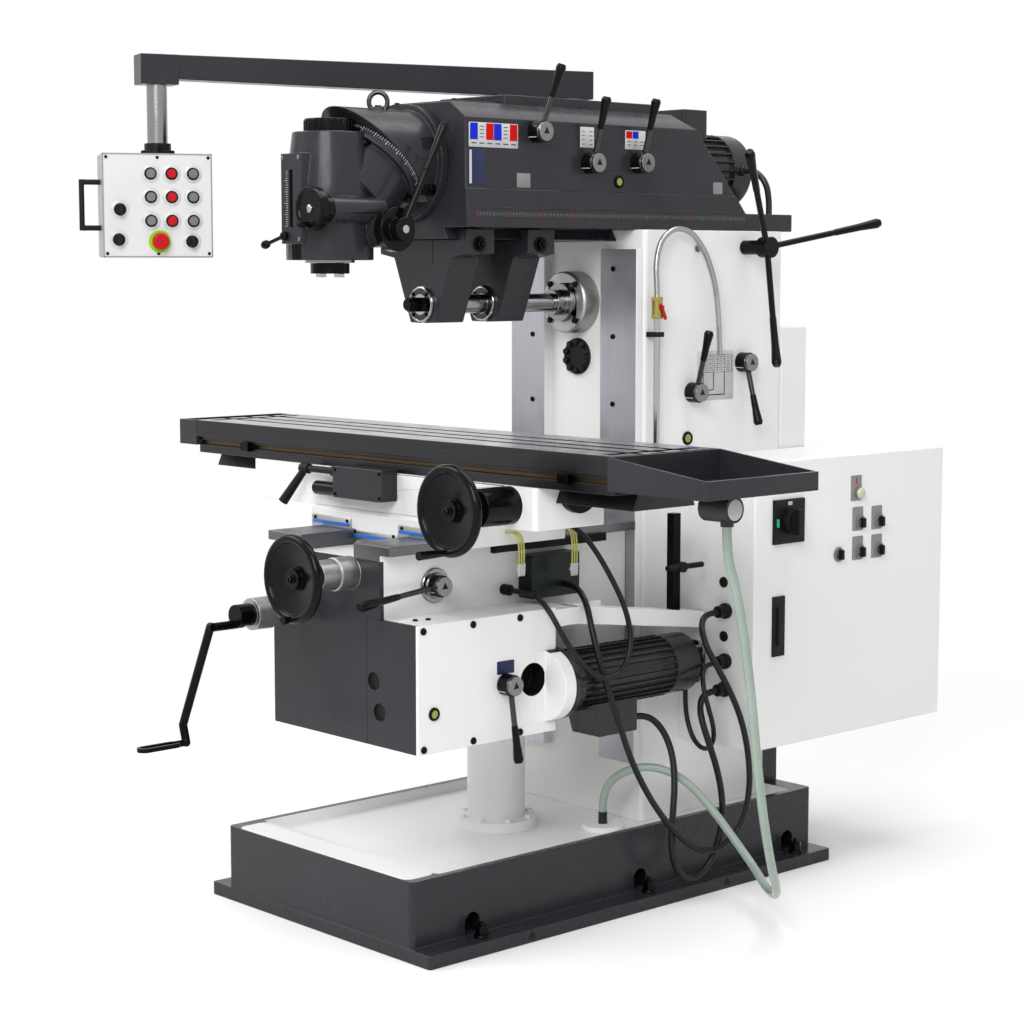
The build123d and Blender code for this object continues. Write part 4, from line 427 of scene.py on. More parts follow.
class Finishes:
    """The machine's finishes by name."""

    CHARCOAL = MachinePaint("charcoal_enamel", (0.0235, 0.0225, 0.0275), 0.26, 0.02, 0.10, gloss=0.24)
    WHITE = MachinePaint("white_enamel", (0.78, 0.78, 0.775), 0.36, 0.012, 0.012, 0.4, 0.012)
    SHEET_WHITE = MachinePaint("white_sheet_enamel", (0.79, 0.79, 0.785), 0.34, 0.004, 0.006, 0.35, 0.006)
    CASE_GREY = MachinePaint("pendant_case_enamel", (0.26, 0.26, 0.265), 0.34, 0.02, 0.03)
    MOTOR_BLACK = MachinePaint("motor_enamel", (0.016, 0.016, 0.0165), 0.26, 0.04, 0.12, gloss=0.3)
    GUIDE_STEEL = Machined("ground_guide_steel", (0.44, 0.445, 0.475), 0.44, Grain.ALONG_Z, 0.06, 0.08)
    TABLE_STEEL = Machined("ground_table_steel", (0.25, 0.25, 0.255), 0.22, Grain.ALONG_X, 0.10, 0.26)
    TABLE_EDGE = Machined("planed_table_edge", (0.045, 0.045, 0.048), 0.34, Grain.ALONG_X, 0.08, 0.14)
    WAY_STEEL = Machined("ground_way_steel", (0.15, 0.15, 0.155), 0.32, Grain.ALONG_Y, 0.08, 0.16)
    TURNED_STEEL = Machined("turned_steel", (0.27, 0.27, 0.265), 0.20, Grain.NONE, 0.03, 0.08)
    SATIN_STEEL = Machined("satin_dial_steel", (0.40, 0.40, 0.395), 0.42, Grain.NONE, 0.05, 0.08)
    CAP_STEEL = Machined("lever_cap_steel", (0.22, 0.22, 0.22), 0.22, Grain.NONE, 0.03, 0.10)
    CASE_WHITE = MachinePaint("pendant_face_enamel", (0.60, 0.60, 0.60), 0.34, 0.006, 0.02, 0.4, 0.01)
    CHROME = Machined("polished_chrome", (0.42, 0.42, 0.42), 0.12, Grain.NONE, 0.01, 0.04)
    ROD_STEEL = Machined("lever_rod_steel", (0.06, 0.06, 0.061), 0.22, Grain.NONE, 0.03, 0.08)
    OXIDE = Machined("black_oxide_steel", (0.011, 0.011, 0.0115), 0.32, Grain.NONE, 0.05, 0.15)
    BRASS = Machined("valve_brass", (0.36, 0.30, 0.09), 0.24, Grain.NONE, 0.05, 0.10)
    SCALE_BRASS = Machined("brown_scale_brass", (0.085, 0.058, 0.026), 0.36, Grain.ALONG_X, 0.04, 0.14)
    GLOSS_BLACK = Moulded("gloss_black_phenolic", (0.0032, 0.0032, 0.0035), 0.16, 0.01, gloss=0.13)
    MATT_BLACK = Moulded("matt_black_plastic", (0.006, 0.006, 0.0065), 0.42, 0.06, gloss=0.16)
    BOX_GREEN = Moulded("dark_green_box_enamel", (0.006, 0.011, 0.008), 0.30, 0.04, gloss=0.2)
    GREY_PLASTIC = Moulded("grey_plastic", (0.13, 0.135, 0.135), 0.36, 0.05)
    PALE_PLASTIC = Moulded("pale_grey_plastic", (0.52, 0.53, 0.52), 0.36, 0.05)
    RED_PLASTIC = Moulded("red_moulded_plastic", (0.42, 0.0, 0.004), 0.34, 0.04, gloss=0.25)
    YELLOW_RING = Moulded("yellow_ring_plastic", (0.26, 0.52, 0.004), 0.36, 0.05, gloss=0.2)
    GREEN_MARK = Moulded("green_mark_plastic", (0.02, 0.42, 0.26), 0.36, 0.05)
    BLUE_WIPER = Moulded("blue_wiper_rubber", (0.012, 0.13, 0.52), 0.44, 0.06)
    LABEL_WHITE = Moulded("printed_plate_white", (0.52, 0.52, 0.515), 0.36, 0.03, gloss=0.3)
    LABEL_BLUE = Moulded("printed_plate_blue", (0.004, 0.02, 0.50), 0.36, 0.03, gloss=0.15)
    LABEL_DUSK = Moulded("printed_plate_dusk_blue", (0.022, 0.028, 0.075), 0.36, 0.03, gloss=0.15)
    LABEL_RED = Moulded("printed_plate_red", (0.52, 0.002, 0.004), 0.36, 0.03, gloss=0.15)
    STRIP_DARK = Moulded("dark_scale_strip", (0.030, 0.028, 0.030), 0.36, 0.03, gloss=0.3)
    LABEL_GREY = Moulded("brushed_plate_grey", (0.20, 0.20, 0.205), 0.36, 0.04)
    SIGHT_GLASS = Moulded("sight_glass_oil", (0.22, 0.27, 0.02), 0.10, 0.02, 0.4)
    LAMP_LENS = Moulded("lamp_lens_plastic", (0.46, 0.46, 0.30), 0.12, 0.02, 0.4)
    LUBE_TUBE = Moulded("lubricant_tube_nylon", (0.46, 0.46, 0.10), 0.26, 0.03, 0.2)
    CABLE = Moulded("cable_rubber", (0.006, 0.006, 0.0063), 0.36, 0.02, 0.0, 1400.0, 0.25)
    HOSE = MilkyTube("milky_hose", (0.40, 0.48, 0.42), 0.24)
    GOOSENECK = Ringed("gooseneck_steel", (0.34, 0.34, 0.345), 0.16, 300.0)


def about_z(degrees: float) -> Matrix:
    """Turn about Z."""
    return Matrix.Rotation(math.radians(degrees), 4, "Z")


@dataclass(frozen=True)
class Seat:
    """Place that a piece modelled at the origin is carried to, in millimetres."""

    spot: Triple
    facing: Triple = Side.RIGHT.value
    turn: float = 0.0

    def matrix(self) -> Matrix:
        """Lays out the seat's directions.

        Returns:
            Matrix with Z along the facing, Y upwards and the turn about Z.
        """
        out = Vector(self.facing).normalized()
        up = Vector((0, 0, 1)) if abs(out.z) < FACING_COSINE else Vector((0, 1, 0))
        across = up.cross(out).normalized()
        axes = Matrix((across, out.cross(across), out)).transposed().to_4x4()
        return Matrix.Translation(Vector(self.spot) * MM) @ axes @ about_z(self.turn)

    def lifted(self, out: float) -> "Seat":
        """Seat further out along its facing."""
        spot = Vector(self.spot) + Vector(self.facing).normalized() * out
        return Seat(tuple(spot), self.facing, self.turn)

    def moved(self, across: float, up: float, out: float = 0.0, turn: float = 0.0) -> Matrix:
        """Matrix of a place beside the seat, in the seat's own directions."""
        step = Matrix.Translation(Vector((across, up, out)) * MM)
        return self.matrix() @ step @ about_z(turn)


@dataclass(frozen=True)
class Patch:
    """Faces of a casting that carry a second finish.

    They lie in a box along the axes, or along a seat, in millimetres.
    """

    finish: Finish
    low: Triple
    high: Triple
    facing: Optional[Triple] = None
    seat: Optional[Seat] = None


def deselect() -> None:
    """Leaves edit mode and clears the selection."""
    if bpy.context.object and bpy.context.object.mode != "OBJECT":
        bpy.ops.object.mode_set(mode="OBJECT")
    bpy.ops.object.select_all(action="DESELECT")


def pick(obj: Piece) -> None:
    """Makes one object the only selected and active one.

    Args:
        obj: Object to pick.
    """
    deselect()
    obj.select_set(True)
    bpy.context.view_layer.objects.active = obj


def apply_modifiers(obj: Piece) -> None:
    """Applies all modifiers of an object in order.

    Args:
        obj: Object that has them.
    """
    pick(obj)
    for name in [m.name for m in obj.modifiers]:
        bpy.ops.object.modifier_apply(modifier=name)


def raised(height: float) -> None:
    """Extrudes the selected faces upwards by a height in millimetres."""
    bpy.ops.mesh.extrude_region_move(TRANSFORM_OT_translate={"value": (0, 0, height * MM)})


def closed() -> Piece:
    """Turns the normals of the mesh in hand outwards and leaves edit mode.

    Returns:
        The mesh's object.
    """
    bpy.ops.mesh.select_all(action="SELECT")
    bpy.ops.mesh.normals_make_consistent(inside=False)
    bpy.ops.object.mode_set(mode="OBJECT")
    return bpy.context.view_layer.objects.active


def turned(profile: Profile, sides: int = 32, turn: float = 0.0) -> Piece:
    """Turns a piece on the Z axis from a disc that is extruded and scaled step by step.

    Args:
        profile: Heights and radii in millimetres, from the back of the piece to its front.
        sides: Corners of the section.
        turn: Degrees that the section is turned.

    Returns:
        The piece, at the origin.
    """
    deselect()
    height, radius = profile[0]
    bpy.ops.mesh.primitive_circle_add(
        vertices=sides,
        radius=radius * MM,
        fill_type="NGON",
        rotation=(0, 0, math.radians(turn)),
        enter_editmode=True,
    )
    bpy.ops.mesh.select_all(action="SELECT")
    bpy.ops.transform.translate(value=(0, 0, height * MM))
    for next_height, next_radius in profile[1:]:
        raised(next_height - height)
        share = next_radius / radius
        bpy.ops.transform.resize(value=(share, share, 1))
        height, radius = next_height, next_radius
    return closed()


def slab(width: float, height: float, thick: float, corner: float = 0.0, edge: float = 0.3) -> Piece:
    """Models a plate that lies on the XY plane, with rounded corners and an eased upper edge.

    Args:
        width: Size along X in millimetres.
        height: Size along Y.
        thick: Thickness.
        corner: Radius of the corners.
        edge: Chamfer of the upper edge.

    Returns:
        The plate, centred on the origin.
    """
    deselect()
    bpy.ops.mesh.primitive_plane_add(size=1, enter_editmode=True)
    bpy.ops.mesh.select_all(action="SELECT")
    bpy.ops.transform.resize(value=(width * MM, height * MM, 1))
    if corner:
        bpy.ops.mesh.bevel(offset=corner * MM, segments=3, affect="VERTICES")
    raised(thick - edge)
    raised(edge)
    bpy.ops.transform.resize(value=(1 - 2 * edge / width, 1 - 2 * edge / height, 1))
    return closed()


def cap_screw(radius: float, height: float) -> Piece:
    """Models a socket screw's head that stands on the XY plane.

    Args:
        radius: Radius of the head in millimetres.
        height: Height of the head.

    Returns:
        The head, at the origin.
    """
    shares = ((0, 1), (0.85, 1), (1, 0.88), (1, 0.52), (0.4, 0.5))
    return turned([(height * up, radius * out) for up, out in shares], 18)


def hex_nut(radius: float, height: float) -> Piece:
    """Models a six-sided nut with its stud, on a round washer.

    Args:
        radius: Radius of the nut's corners in millimetres.
        height: Height from the washer's foot to the stud's chamfer.

    Returns:
        The nut, at the origin.
    """
    washer_shares = ((0, 1.3), (0.16, 1.3), (0.2, 1.22))
    washer = turned([(height * up, radius * out) for up, out in washer_shares], 24)
    nut_shares = ((0.2, 1), (0.72, 1), (0.8, 0.88), (0.8, 0.5), (1, 0.5), (1.06, 0.4))
    nut = turned([(height * up, radius * out) for up, out in nut_shares], 6, 30)
    return joined([washer, nut])


def joined(pieces: Sequence[Piece]) -> Piece:
    """Joins pieces into the first of them.

    Args:
        pieces: Pieces to join.

    Returns:
        The first piece, which holds them all.
    """
    deselect()
    for piece in pieces:
        piece.select_set(True)
    bpy.context.view_layer.objects.active = pieces[0]
    if len(pieces) > 1:
        bpy.ops.object.join()
    return pieces[0]


def set_out(piece: Piece, places: Sequence[Matrix]) -> Piece:
    """Copies a piece to each place, each copy with its own mesh, and joins the copies.

    Args:
        piece: Piece modelled at the origin, used up as the first copy.
        places: One matrix for each copy.

    Returns:
        The joined copies at the origin.
    """
    copies = [piece]
    for _ in places[1:]:
        pick(piece)
        bpy.ops.object.duplicate()
        copies.append(bpy.context.view_layer.objects.active)
    for copy, place in zip(copies, places):
        copy.matrix_world = place
    done = joined(copies)
    bpy.ops.object.transform_apply(location=True, rotation=True, scale=True)
    return done


def in_metres(points: Sequence[Triple]) -> list[Vector]:
    """Points given in millimetres, in metres."""
    return [Vector(spot) * MM for spot in points]


def laid_curve(name: str, run: Run, points: Sequence[Vector], radius: float = 0.0, sides: int = 5) -> Piece:
    """Lays a curve with a round section along points.

    Args:
        name: Name of the curve.
        run: Way that it follows the points, which are a smooth curve's control points.
        points: Points in metres.
        radius: Radius of the section in millimetres, or 0 for a bare line.
        sides: Half the corners of the section, less two.

    Returns:
        The curve object.
    """
    curve = bpy.data.curves.new(name, "CURVE")
    curve.dimensions = "3D"
    spline = curve.splines.new(run.value)
    spline.points.add(len(points) - 1)
    for control, spot in zip(spline.points, points):
        control.co = (*spot, 1.0)
    if run is Run.SMOOTH:
        spline.order_u = 3
        spline.use_endpoint_u = True
        spline.resolution_u = 8
    curve.bevel_depth = radius * MM
    curve.bevel_resolution = sides
    curve.use_fill_caps = True
    obj = bpy.data.objects.new(name, curve)
    bpy.context.scene.collection.objects.link(obj)
    return obj


def as_mesh(curve: Piece) -> Piece:
    """Turns a round curve into a closed mesh.

    Args:
        curve: Curve to turn.

    Returns:
        The mesh object.
    """
    pick(curve)
    bpy.ops.object.convert(target="MESH")
    bpy.ops.object.mode_set(mode="EDIT")
    bpy.ops.mesh.select_all(action="SELECT")
    bpy.ops.mesh.remove_doubles(threshold=MERGE_DISTANCE)
    return closed()


@dataclass
class Dress:
    """Fine pieces that one body carries."""

    body: str
    slot: str

    def fit(
        self,
        name: str,
        piece: Piece,
        finish: Finish,
        places: Sequence[Seat | Matrix] = (),
        slot: str = "",
        body: str = "",
        crease: float = 40.0,
    ) -> Piece:
        """Sets a piece out at its places, finishes it and lets it ride.

        Args:
            name: Name of the finished piece.
            piece: Piece modelled at the origin, or in place where places is empty.
            finish: Its finish.
            places: Seats or matrices of its copies.
            slot: Material slot, or the body's usual one; not used.
            body: Body that carries it, or the usual one.
            crease: Edges sharper than this many degrees stay sharp.

        Returns:
            The finished piece.
        """
        spots = [spot.matrix() if isinstance(spot, Seat) else spot for spot in places]
        done = set_out(piece, spots or [Matrix.Identity(4)])
        done.name = name
        done.data.materials.clear()
        done.data.materials.append(finish.material())
        pick(done)
        bpy.ops.object.shade_smooth_by_angle(angle=math.radians(crease))
        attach(done, body or self.body)
        LOG.info("%s: %d faces", name, len(done.data.polygons))
        return done

    def sight_glass(self, name: str, seat: Seat, radius: float) -> None:
        """Fits a round oil window in a dark threaded ring.

        Args:
            name: First part of both pieces' names.
            seat: Place of the window.
            radius: Outer radius of the ring in millimetres.
        """
        shares = ((0, 1), (3, 1), (5, 0.9), (5, 0.68), (3, 0.64))
        ring = turned([(out, radius * share) for out, share in shares], 28)
        self.fit(f"{name}_ring", ring, Finishes.OXIDE, [seat], "dark_metal")
        glass = turned(((3, radius * 0.62), (3.8, radius * 0.6), (4.6, radius * 0.4)), 28)
        self.fit(f"{name}_glass", glass, Finishes.SIGHT_GLASS, [seat], "hose_plastic")

    def plate(self, name: str, seat: Seat, size: Pair, finish: Finish) -> None:
        """Thin plate with rounded corners."""
        self.fit(name, slab(*size, PLATE_THICK, 2.0, 0.4), finish, [seat], "white_paint")

    def marks(
        self,
        name: str,
        seat: Seat,
        bars: Sequence[tuple[float, float, float, float]],
        finish: Finish,
        thick: float = 0.5,
    ) -> None:
        """Bars printed or engraved on a face.

        Args:
            name: Name of the piece that holds them all.
            seat: Place of the face.
            bars: Centre across and up, width and height of each, in the seat's directions.
            finish: Their finish.
            thick: How far they stand out of the face.
        """
        pieces = [
            set_out(slab(width, height, thick, 0.0, 0.12), [seat.moved(across, up)])
            for across, up, width, height in bars
        ]
        self.fit(name, joined(pieces), finish, (), "white_paint")


def rim_places(seat: Seat, radius: float, out: float, turns: Sequence[float]) -> list[Matrix]:
    """Finds places on the rim of a disc, each looking away from the disc's axis.

    Args:
        seat: Seat of the disc.
        radius: Radius of the rim in millimetres.
        out: Distance along the disc's axis.
        turns: Degrees round the axis, from the seat's upward direction.

    Returns:
        One matrix for each turn.
    """
    lay = Matrix.Rotation(math.radians(-90), 4, "X")
    step = Matrix.Translation(Vector((0, radius, out)) * MM)
    return [seat.matrix() @ about_z(turn) @ step @ lay for turn in turns]


def face_places(seat: Seat, radius: float, turns: Sequence[float], out: float = 0.0) -> list[Matrix]:
    """Places around a seat at a radius, each looking the seat's way."""
    step = Matrix.Translation(Vector((0, radius, out)) * MM)
    return [seat.matrix() @ about_z(turn) @ step for turn in turns]


@dataclass
class Casting:
    """CAD node with eased edges and one or more finishes."""

    node: str
    finish: Finish
    edge: float = 1.5
    patches: Sequence[Patch] = ()
    steps: int = 2
    flat_limit: float = 0.6
    without: Optional[Box] = None
    trim: Optional[Box] = None

    def build(self) -> Piece:
        """Copies the node, joins its triangles into faces, paints it and rounds its edges.

        Returns:
            The finished piece, which stands for the node.
        """
        source = frame["nodes"][self.node]
        body = source["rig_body"]
        pick(source)
        bpy.ops.object.duplicate()
        piece = bpy.context.view_layer.objects.active
        piece.name = f"{self.node}_finished"
        piece.parent = None
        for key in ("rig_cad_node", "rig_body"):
            del piece[key]
        bpy.ops.object.mode_set(mode="EDIT")
        bpy.ops.mesh.select_all(action="SELECT")
        bpy.ops.mesh.customdata_custom_splitnormals_clear()
        bpy.ops.mesh.remove_doubles(threshold=MERGE_DISTANCE)
        if self.without:
            self.clear_box(piece)
        if self.flat_limit:
            bpy.ops.mesh.dissolve_limited(angle_limit=math.radians(self.flat_limit))
        bpy.ops.object.mode_set(mode="OBJECT")
        if self.trim:
            self.cut_box(piece)
        self.paint(piece)
        if self.edge:
            bevel = piece.modifiers.new("edge", "BEVEL")
            bevel.width = self.edge * MM
            bevel.segments = self.steps
            self.mark_edges(piece.data)
            bevel.limit_method = "WEIGHT"
            bevel.use_clamp_overlap = False
            bevel.miter_outer = "MITER_ARC"
        flat = piece.modifiers.new("flat", "WEIGHTED_NORMAL")
        flat.keep_sharp = True
        bpy.ops.object.shade_smooth_by_angle(angle=CREASE_ANGLE)
        apply_modifiers(piece)
        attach(piece, body)
        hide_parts(self.node)
        slot_of(self.node)
        LOG.info("%s: %d faces", piece.name, len(piece.data.polygons))
        return piece

    def cut_box(self, piece: Piece) -> None:
        """Cuts a box out of the copy, where the real piece stops short of the node's solid.

        Args:
            piece: Copy of the node.
        """
        low, high = in_metres(self.trim)
        deselect()
        bpy.ops.mesh.primitive_cube_add(size=1, location=(low + high) / 2, scale=high - low)
        box = bpy.context.view_layer.objects.active
        cut = piece.modifiers.new("cut", "BOOLEAN")
        cut.object = box
        cut.operation = "DIFFERENCE"
        cut.solver = "EXACT"
        pick(piece)
        bpy.ops.object.modifier_apply(modifier=cut.name)
        bpy.data.objects.remove(box)

    def mark_edges(self, mesh: bpy.types.Mesh) -> None:
        """Marks the edges to round: the sharp ones, away from points where two run into a sliver.

        Args:
            mesh: Mesh of the copy.
        """
        normals: dict[tuple[int, int], list[Vector]] = {}
        for polygon in mesh.polygons:
            for key in polygon.edge_keys:
                normals.setdefault(key, []).append(polygon.normal)
        runs: dict[int, list[Vector]] = {}
        sharp = []
        for edge in mesh.edges:
            sides = normals.get(edge.key, [])
            if len(sides) == 2 and sides[0].angle(sides[1], 0.0) > SHARP_ANGLE:
                sharp.append(edge.index)
                a, b = edge.vertices
                run = (mesh.vertices[b].co - mesh.vertices[a].co).normalized()
                runs.setdefault(a, []).append(run)
                runs.setdefault(b, []).append(-run)
        pinched = {
            vertex for vertex, ways in runs.items()
            if any(u.dot(v) > SLIVER_COSINE for n, u in enumerate(ways) for v in ways[:n])
        }
        weights = mesh.attributes.new("bevel_weight_edge", "FLOAT", "EDGE")
        for index in sharp:
            if not pinched.intersection(mesh.edges[index].vertices):
                weights.data[index].value = 1.0

    def clear_box(self, piece: Piece) -> None:
        """Deletes the solid that has faces inside a box, which another piece stands for.

        Args:
            piece: Copy of the node, in edit mode.
        """
        low, high = in_metres(self.without)
        bpy.ops.mesh.select_all(action="DESELECT")
        bpy.ops.object.mode_set(mode="OBJECT")
        for polygon in piece.data.polygons:
            polygon.select = all(a < c < b for a, c, b in zip(low, polygon.center, high))
        bpy.ops.object.mode_set(mode="EDIT")
        bpy.ops.mesh.select_linked()
        bpy.ops.mesh.delete(type="FACE")
        bpy.ops.mesh.select_all(action="SELECT")

    def paint(self, piece: Piece) -> None:
        """Gives every face its finish.

        Args:
            piece: Copy of the node.
        """
        mesh = piece.data
        mesh.materials.clear()
        mesh.materials.append(self.finish.material())
        for polygon in mesh.polygons:
            polygon.material_index = 0
        for patch in self.patches:
            mesh.materials.append(patch.finish.material())
            index = len(mesh.materials) - 1
            low, high = in_metres((patch.low, patch.high))
            facing = Vector(patch.facing).normalized() if patch.facing else None
            into = patch.seat.matrix().inverted() if patch.seat else Matrix.Identity(4)
            for polygon in mesh.polygons:
                centre = into @ polygon.center
                if any(c < a or c > b for c, a, b in zip(centre, low, high)):
                    continue
                if facing is None or polygon.normal.dot(facing) > FACING_COSINE:
                    polygon.material_index = index


def slot_of(node: str) -> str:
    """Looks up the material slot that the record gives a node.

    Args:
        node: Name of the node.

    Returns:
        Name of its slot.
    """
    for part in frame["record"]["subparts"]:
        if part["node"] == node:
            return part["material_slot"]
    raise KeyError(node)


@dataclass(frozen=True)
class Span:
    """Stretch of a cord that bends between two bodies.

    The bend runs from start to end in millimetres, or from end to end of the stretch, which reaches up to a
    share of the cord's length.
    """

    first: str
    second: str
    upto: float = 1.0
    start: Optional[Triple] = None
    end: Optional[Triple] = None


@dataclass
class FreeCord:
    """Cable or hose that hangs between two fittings."""

    node: str
    diameter: float
    length: float
    points: Sequence[Triple]
    finish: Finish
    spans: Sequence[Span]
    stiffness: str = "medium"
    stands_for: str = ""

    def line(self) -> list[Vector]:
        """Reads the route's smooth spline.

        Returns:
            Points of the spline in metres.
        """
        bare = laid_curve(f"{self.node}_line", Run.SMOOTH, in_metres(self.points))
        mesh = bpy.data.meshes.new_from_object(bare)
        points = [vertex.co.copy() for vertex in mesh.vertices]
        bpy.data.objects.remove(bare)
        bpy.data.meshes.remove(mesh)
        return points

    def tube(self, name: str, points: Sequence[Vector]) -> Piece:
        """Makes a round tube along points of the route's spline.

        Args:
            name: Name of the tube.
            points: Points in metres.

        Returns:
            The tube.
        """
        tube = as_mesh(laid_curve(name, Run.STRAIGHT, points, self.diameter / 2))
        tube.data.materials.clear()
        tube.data.materials.append(self.finish.material())
        pick(tube)
        bpy.ops.object.shade_smooth_by_angle(angle=CREASE_ANGLE)
        return tube

    def build(self) -> None:
        """Lays the cord's stretches end to end as tubes and hides the node that the cord stands for."""
        line = self.line()
        node = self.stands_for or self.node
        first = 0
        for number, span in enumerate(self.spans, 1):
            last = round(span.upto * (len(line) - 1))
            name = f"{self.node}_laid" if len(self.spans) == 1 else f"{self.node}_laid_{number}"
            stretch = line[first:last + 1]
            tube = self.tube(name, stretch)
            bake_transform(tube)
            if number == 1:
                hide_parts(node)
            first = last


@dataclass
class Wiring:
    """Cables between the knee, the saddle and the cabinet, and the coolant drain hose."""

    cords: tuple[FreeCord, ...] = (
        FreeCord("switch_cable", 15, 1571, (
            (236, -112, 776), (278, -112, 776), (322, -122, 744), (356, -138, 690),
            (381, -138, 618), (396, -122, 545), (408, -98, 465), (418, -66, 370),
            (426, -10, 272), (432, 66, 182), (442, 150, 118), (458, 226, 128),
            (476, 264, 188), (486, 274, 268), (488, 264, 355), (482, 244, 440),
            (470, 214, 512), (452, 186, 572), (428, 172, 622), (402, 184, 664),
            (384, 220, 685), (384, 262, 685),
        ), Finishes.CABLE, (Span("knee", "frame", start=(0, -90, 0), end=(0, 190, 0)),)),
        FreeCord("motor_cable", 16, 1061, (
            (330, 20, 452), (330, 58, 452), (342, 92, 436), (364, 110, 396),
            (386, 110, 344), (402, 98, 286), (412, 82, 224), (416, 72, 162),
            (418, 78, 104), (421, 108, 62), (425, 152, 54), (431, 192, 82),
            (437, 216, 132), (443, 224, 192), (446, 217, 256), (444, 200, 320),
            (436, 182, 378), (422, 172, 428), (404, 180, 466), (384, 217, 492),
            (384, 262, 492),
        ), Finishes.CABLE, (Span("knee", "frame", start=(0, 33.3, 0), end=(0, 98.2, -10.8)),)),
        FreeCord("brake_cable", 12, 482, (
            (305, 236, 492), (305, 236, 450), (313, 236, 408), (332, 235, 370),
            (362, 232, 350), (398, 224, 356), (422, 214, 386), (432, 198, 426),
            (430, 182, 470), (416, 180, 514), (398, 196, 546), (384, 226, 561),
            (384, 262, 561),
        ), Finishes.CABLE, (
            Span("knee", "frame", start=(312, 0, 0), end=(380, 0, 0)),
        ), stands_for="motor_cable"),
        FreeCord("table_cable", 13, 847, (
            (268, -168, 930), (308, -168, 930), (342, -152, 906), (364, -128, 862),
            (380, -98, 804), (396, -70, 738), (408, -58, 668), (416, -78, 608),
            (416, -122, 574), (410, -174, 582), (396, -216, 624), (372, -246, 682),
            (348, -258, 732), (304, -262, 770), (259, -262, 772), (214, -262, 772),
        ), Finishes.CABLE, (Span("saddle_slide", "knee", start=(396, -70, 738), end=(359, -182, 645)),)),
        FreeCord("drain_hose", 20, 1817, (
            (922, -304, 985), (922, -304, 925), (933, -288, 860), (936, -268, 775),
            (934, -246, 680), (929, -224, 580), (920, -200, 480), (906, -168, 380),
            (884, -124, 286), (848, -62, 198), (796, 16, 128), (724, 94, 84),
            (640, 160, 72), (566, 200, 100), (500, 205, 152), (440, 188, 222),
            (390, 160, 280), (344, 126, 312), (296, 92, 316), (252, 62, 296),
            (212, 45, 252), (212, 45, 197),
        ), Finishes.HOSE, (
            Span("table_slide", "turntable", 0.12),
            Span("turntable", "saddle_slide", 0.34),
            Span("saddle_slide", "knee", 0.42),
            Span("knee", "frame", 1.0, (846, -60, 196), (566, 200, 100)),
        ), "limp"),
    )

    def build(self) -> None:
        """Lays every cord."""
        for cord in self.cords:
            cord.build()


@dataclass
class Base(Dress):
    """Base casting with its chip pan, foundation bolts and levelling marks."""

    body: str = "frame"
    slot: str = "dark_metal"
    bolt_x: float = 376.0
    bolt_rows: tuple[float, ...] = (-497.0, 40.0, 577.0)
    flange_top: float = 31.0
    flange_side: float = 408.0
    mark_rows: tuple[float, ...] = (-373.0, 282.0)
    mark_z: float = 16.0
    pan: Box = ((-335, -640, 150), (335, 660, 178))
    pocket_shade_sides: tuple[Pair, ...] = ((308.0, 344.5), (-344.5, -308.0))
    pocket_shade_half: float = 23.0
    pocket_shade_z: Pair = (31.5, 83.0)
    lip: Seat = Seat((6, -626, 180.8), Side.UP.value)
    dark_foot_side: Seat = Seat((228, 641, 264), Side.RIGHT.value)
    dark_foot_rear: Seat = Seat((0, 668, 264), Side.BACK.value)

    def build(self) -> None:
        """Paints the casting and stands a nut on every foundation bolt."""
        low, high = self.pocket_shade_z
        half = self.pocket_shade_half
        Casting("base_casting", Finishes.CHARCOAL, 1.6, (
            Patch(Finishes.WHITE, *self.pan),
            # The foundation bolts' pockets get matt black faces: painted shade in the niches.
            *(
                Patch(Finishes.MATT_BLACK, (a, row - half, low), (b, row + half, high))
                for a, b in self.pocket_shade_sides for row in self.bolt_rows
            ),
        )).build()
        self.fit("pan_lip_paint", slab(632, 86, 0.9, 22, 0.3), Finishes.WHITE, [self.lip], "white_paint")
        # Charcoal sheets, 164 mm tall, over the lower column on its right side and its back.
        for name, width, seat in (("side", 54, self.dark_foot_side), ("rear", 452, self.dark_foot_rear)):
            sheet = slab(width, 164, 1.6, 0, 0.5)
            self.fit(f"column_foot_dark_{name}", sheet, Finishes.CHARCOAL, [seat], "grey_paint")
        seats = [
            Seat((side * self.bolt_x, row, self.flange_top), Side.UP.value)
            for side in (-1, 1) for row in self.bolt_rows
        ]
        self.fit("foundation_nuts", hex_nut(14, 34), Finishes.OXIDE, seats)
        marks = [Seat((self.flange_side, row, self.mark_z)) for row in self.mark_rows]
        triangle = turned(((0, 14), (0.5, 14), (0.7, 13.4)), 3)
        self.fit("levelling_marks", triangle, Finishes.MATT_BLACK, marks, "black_plastic")


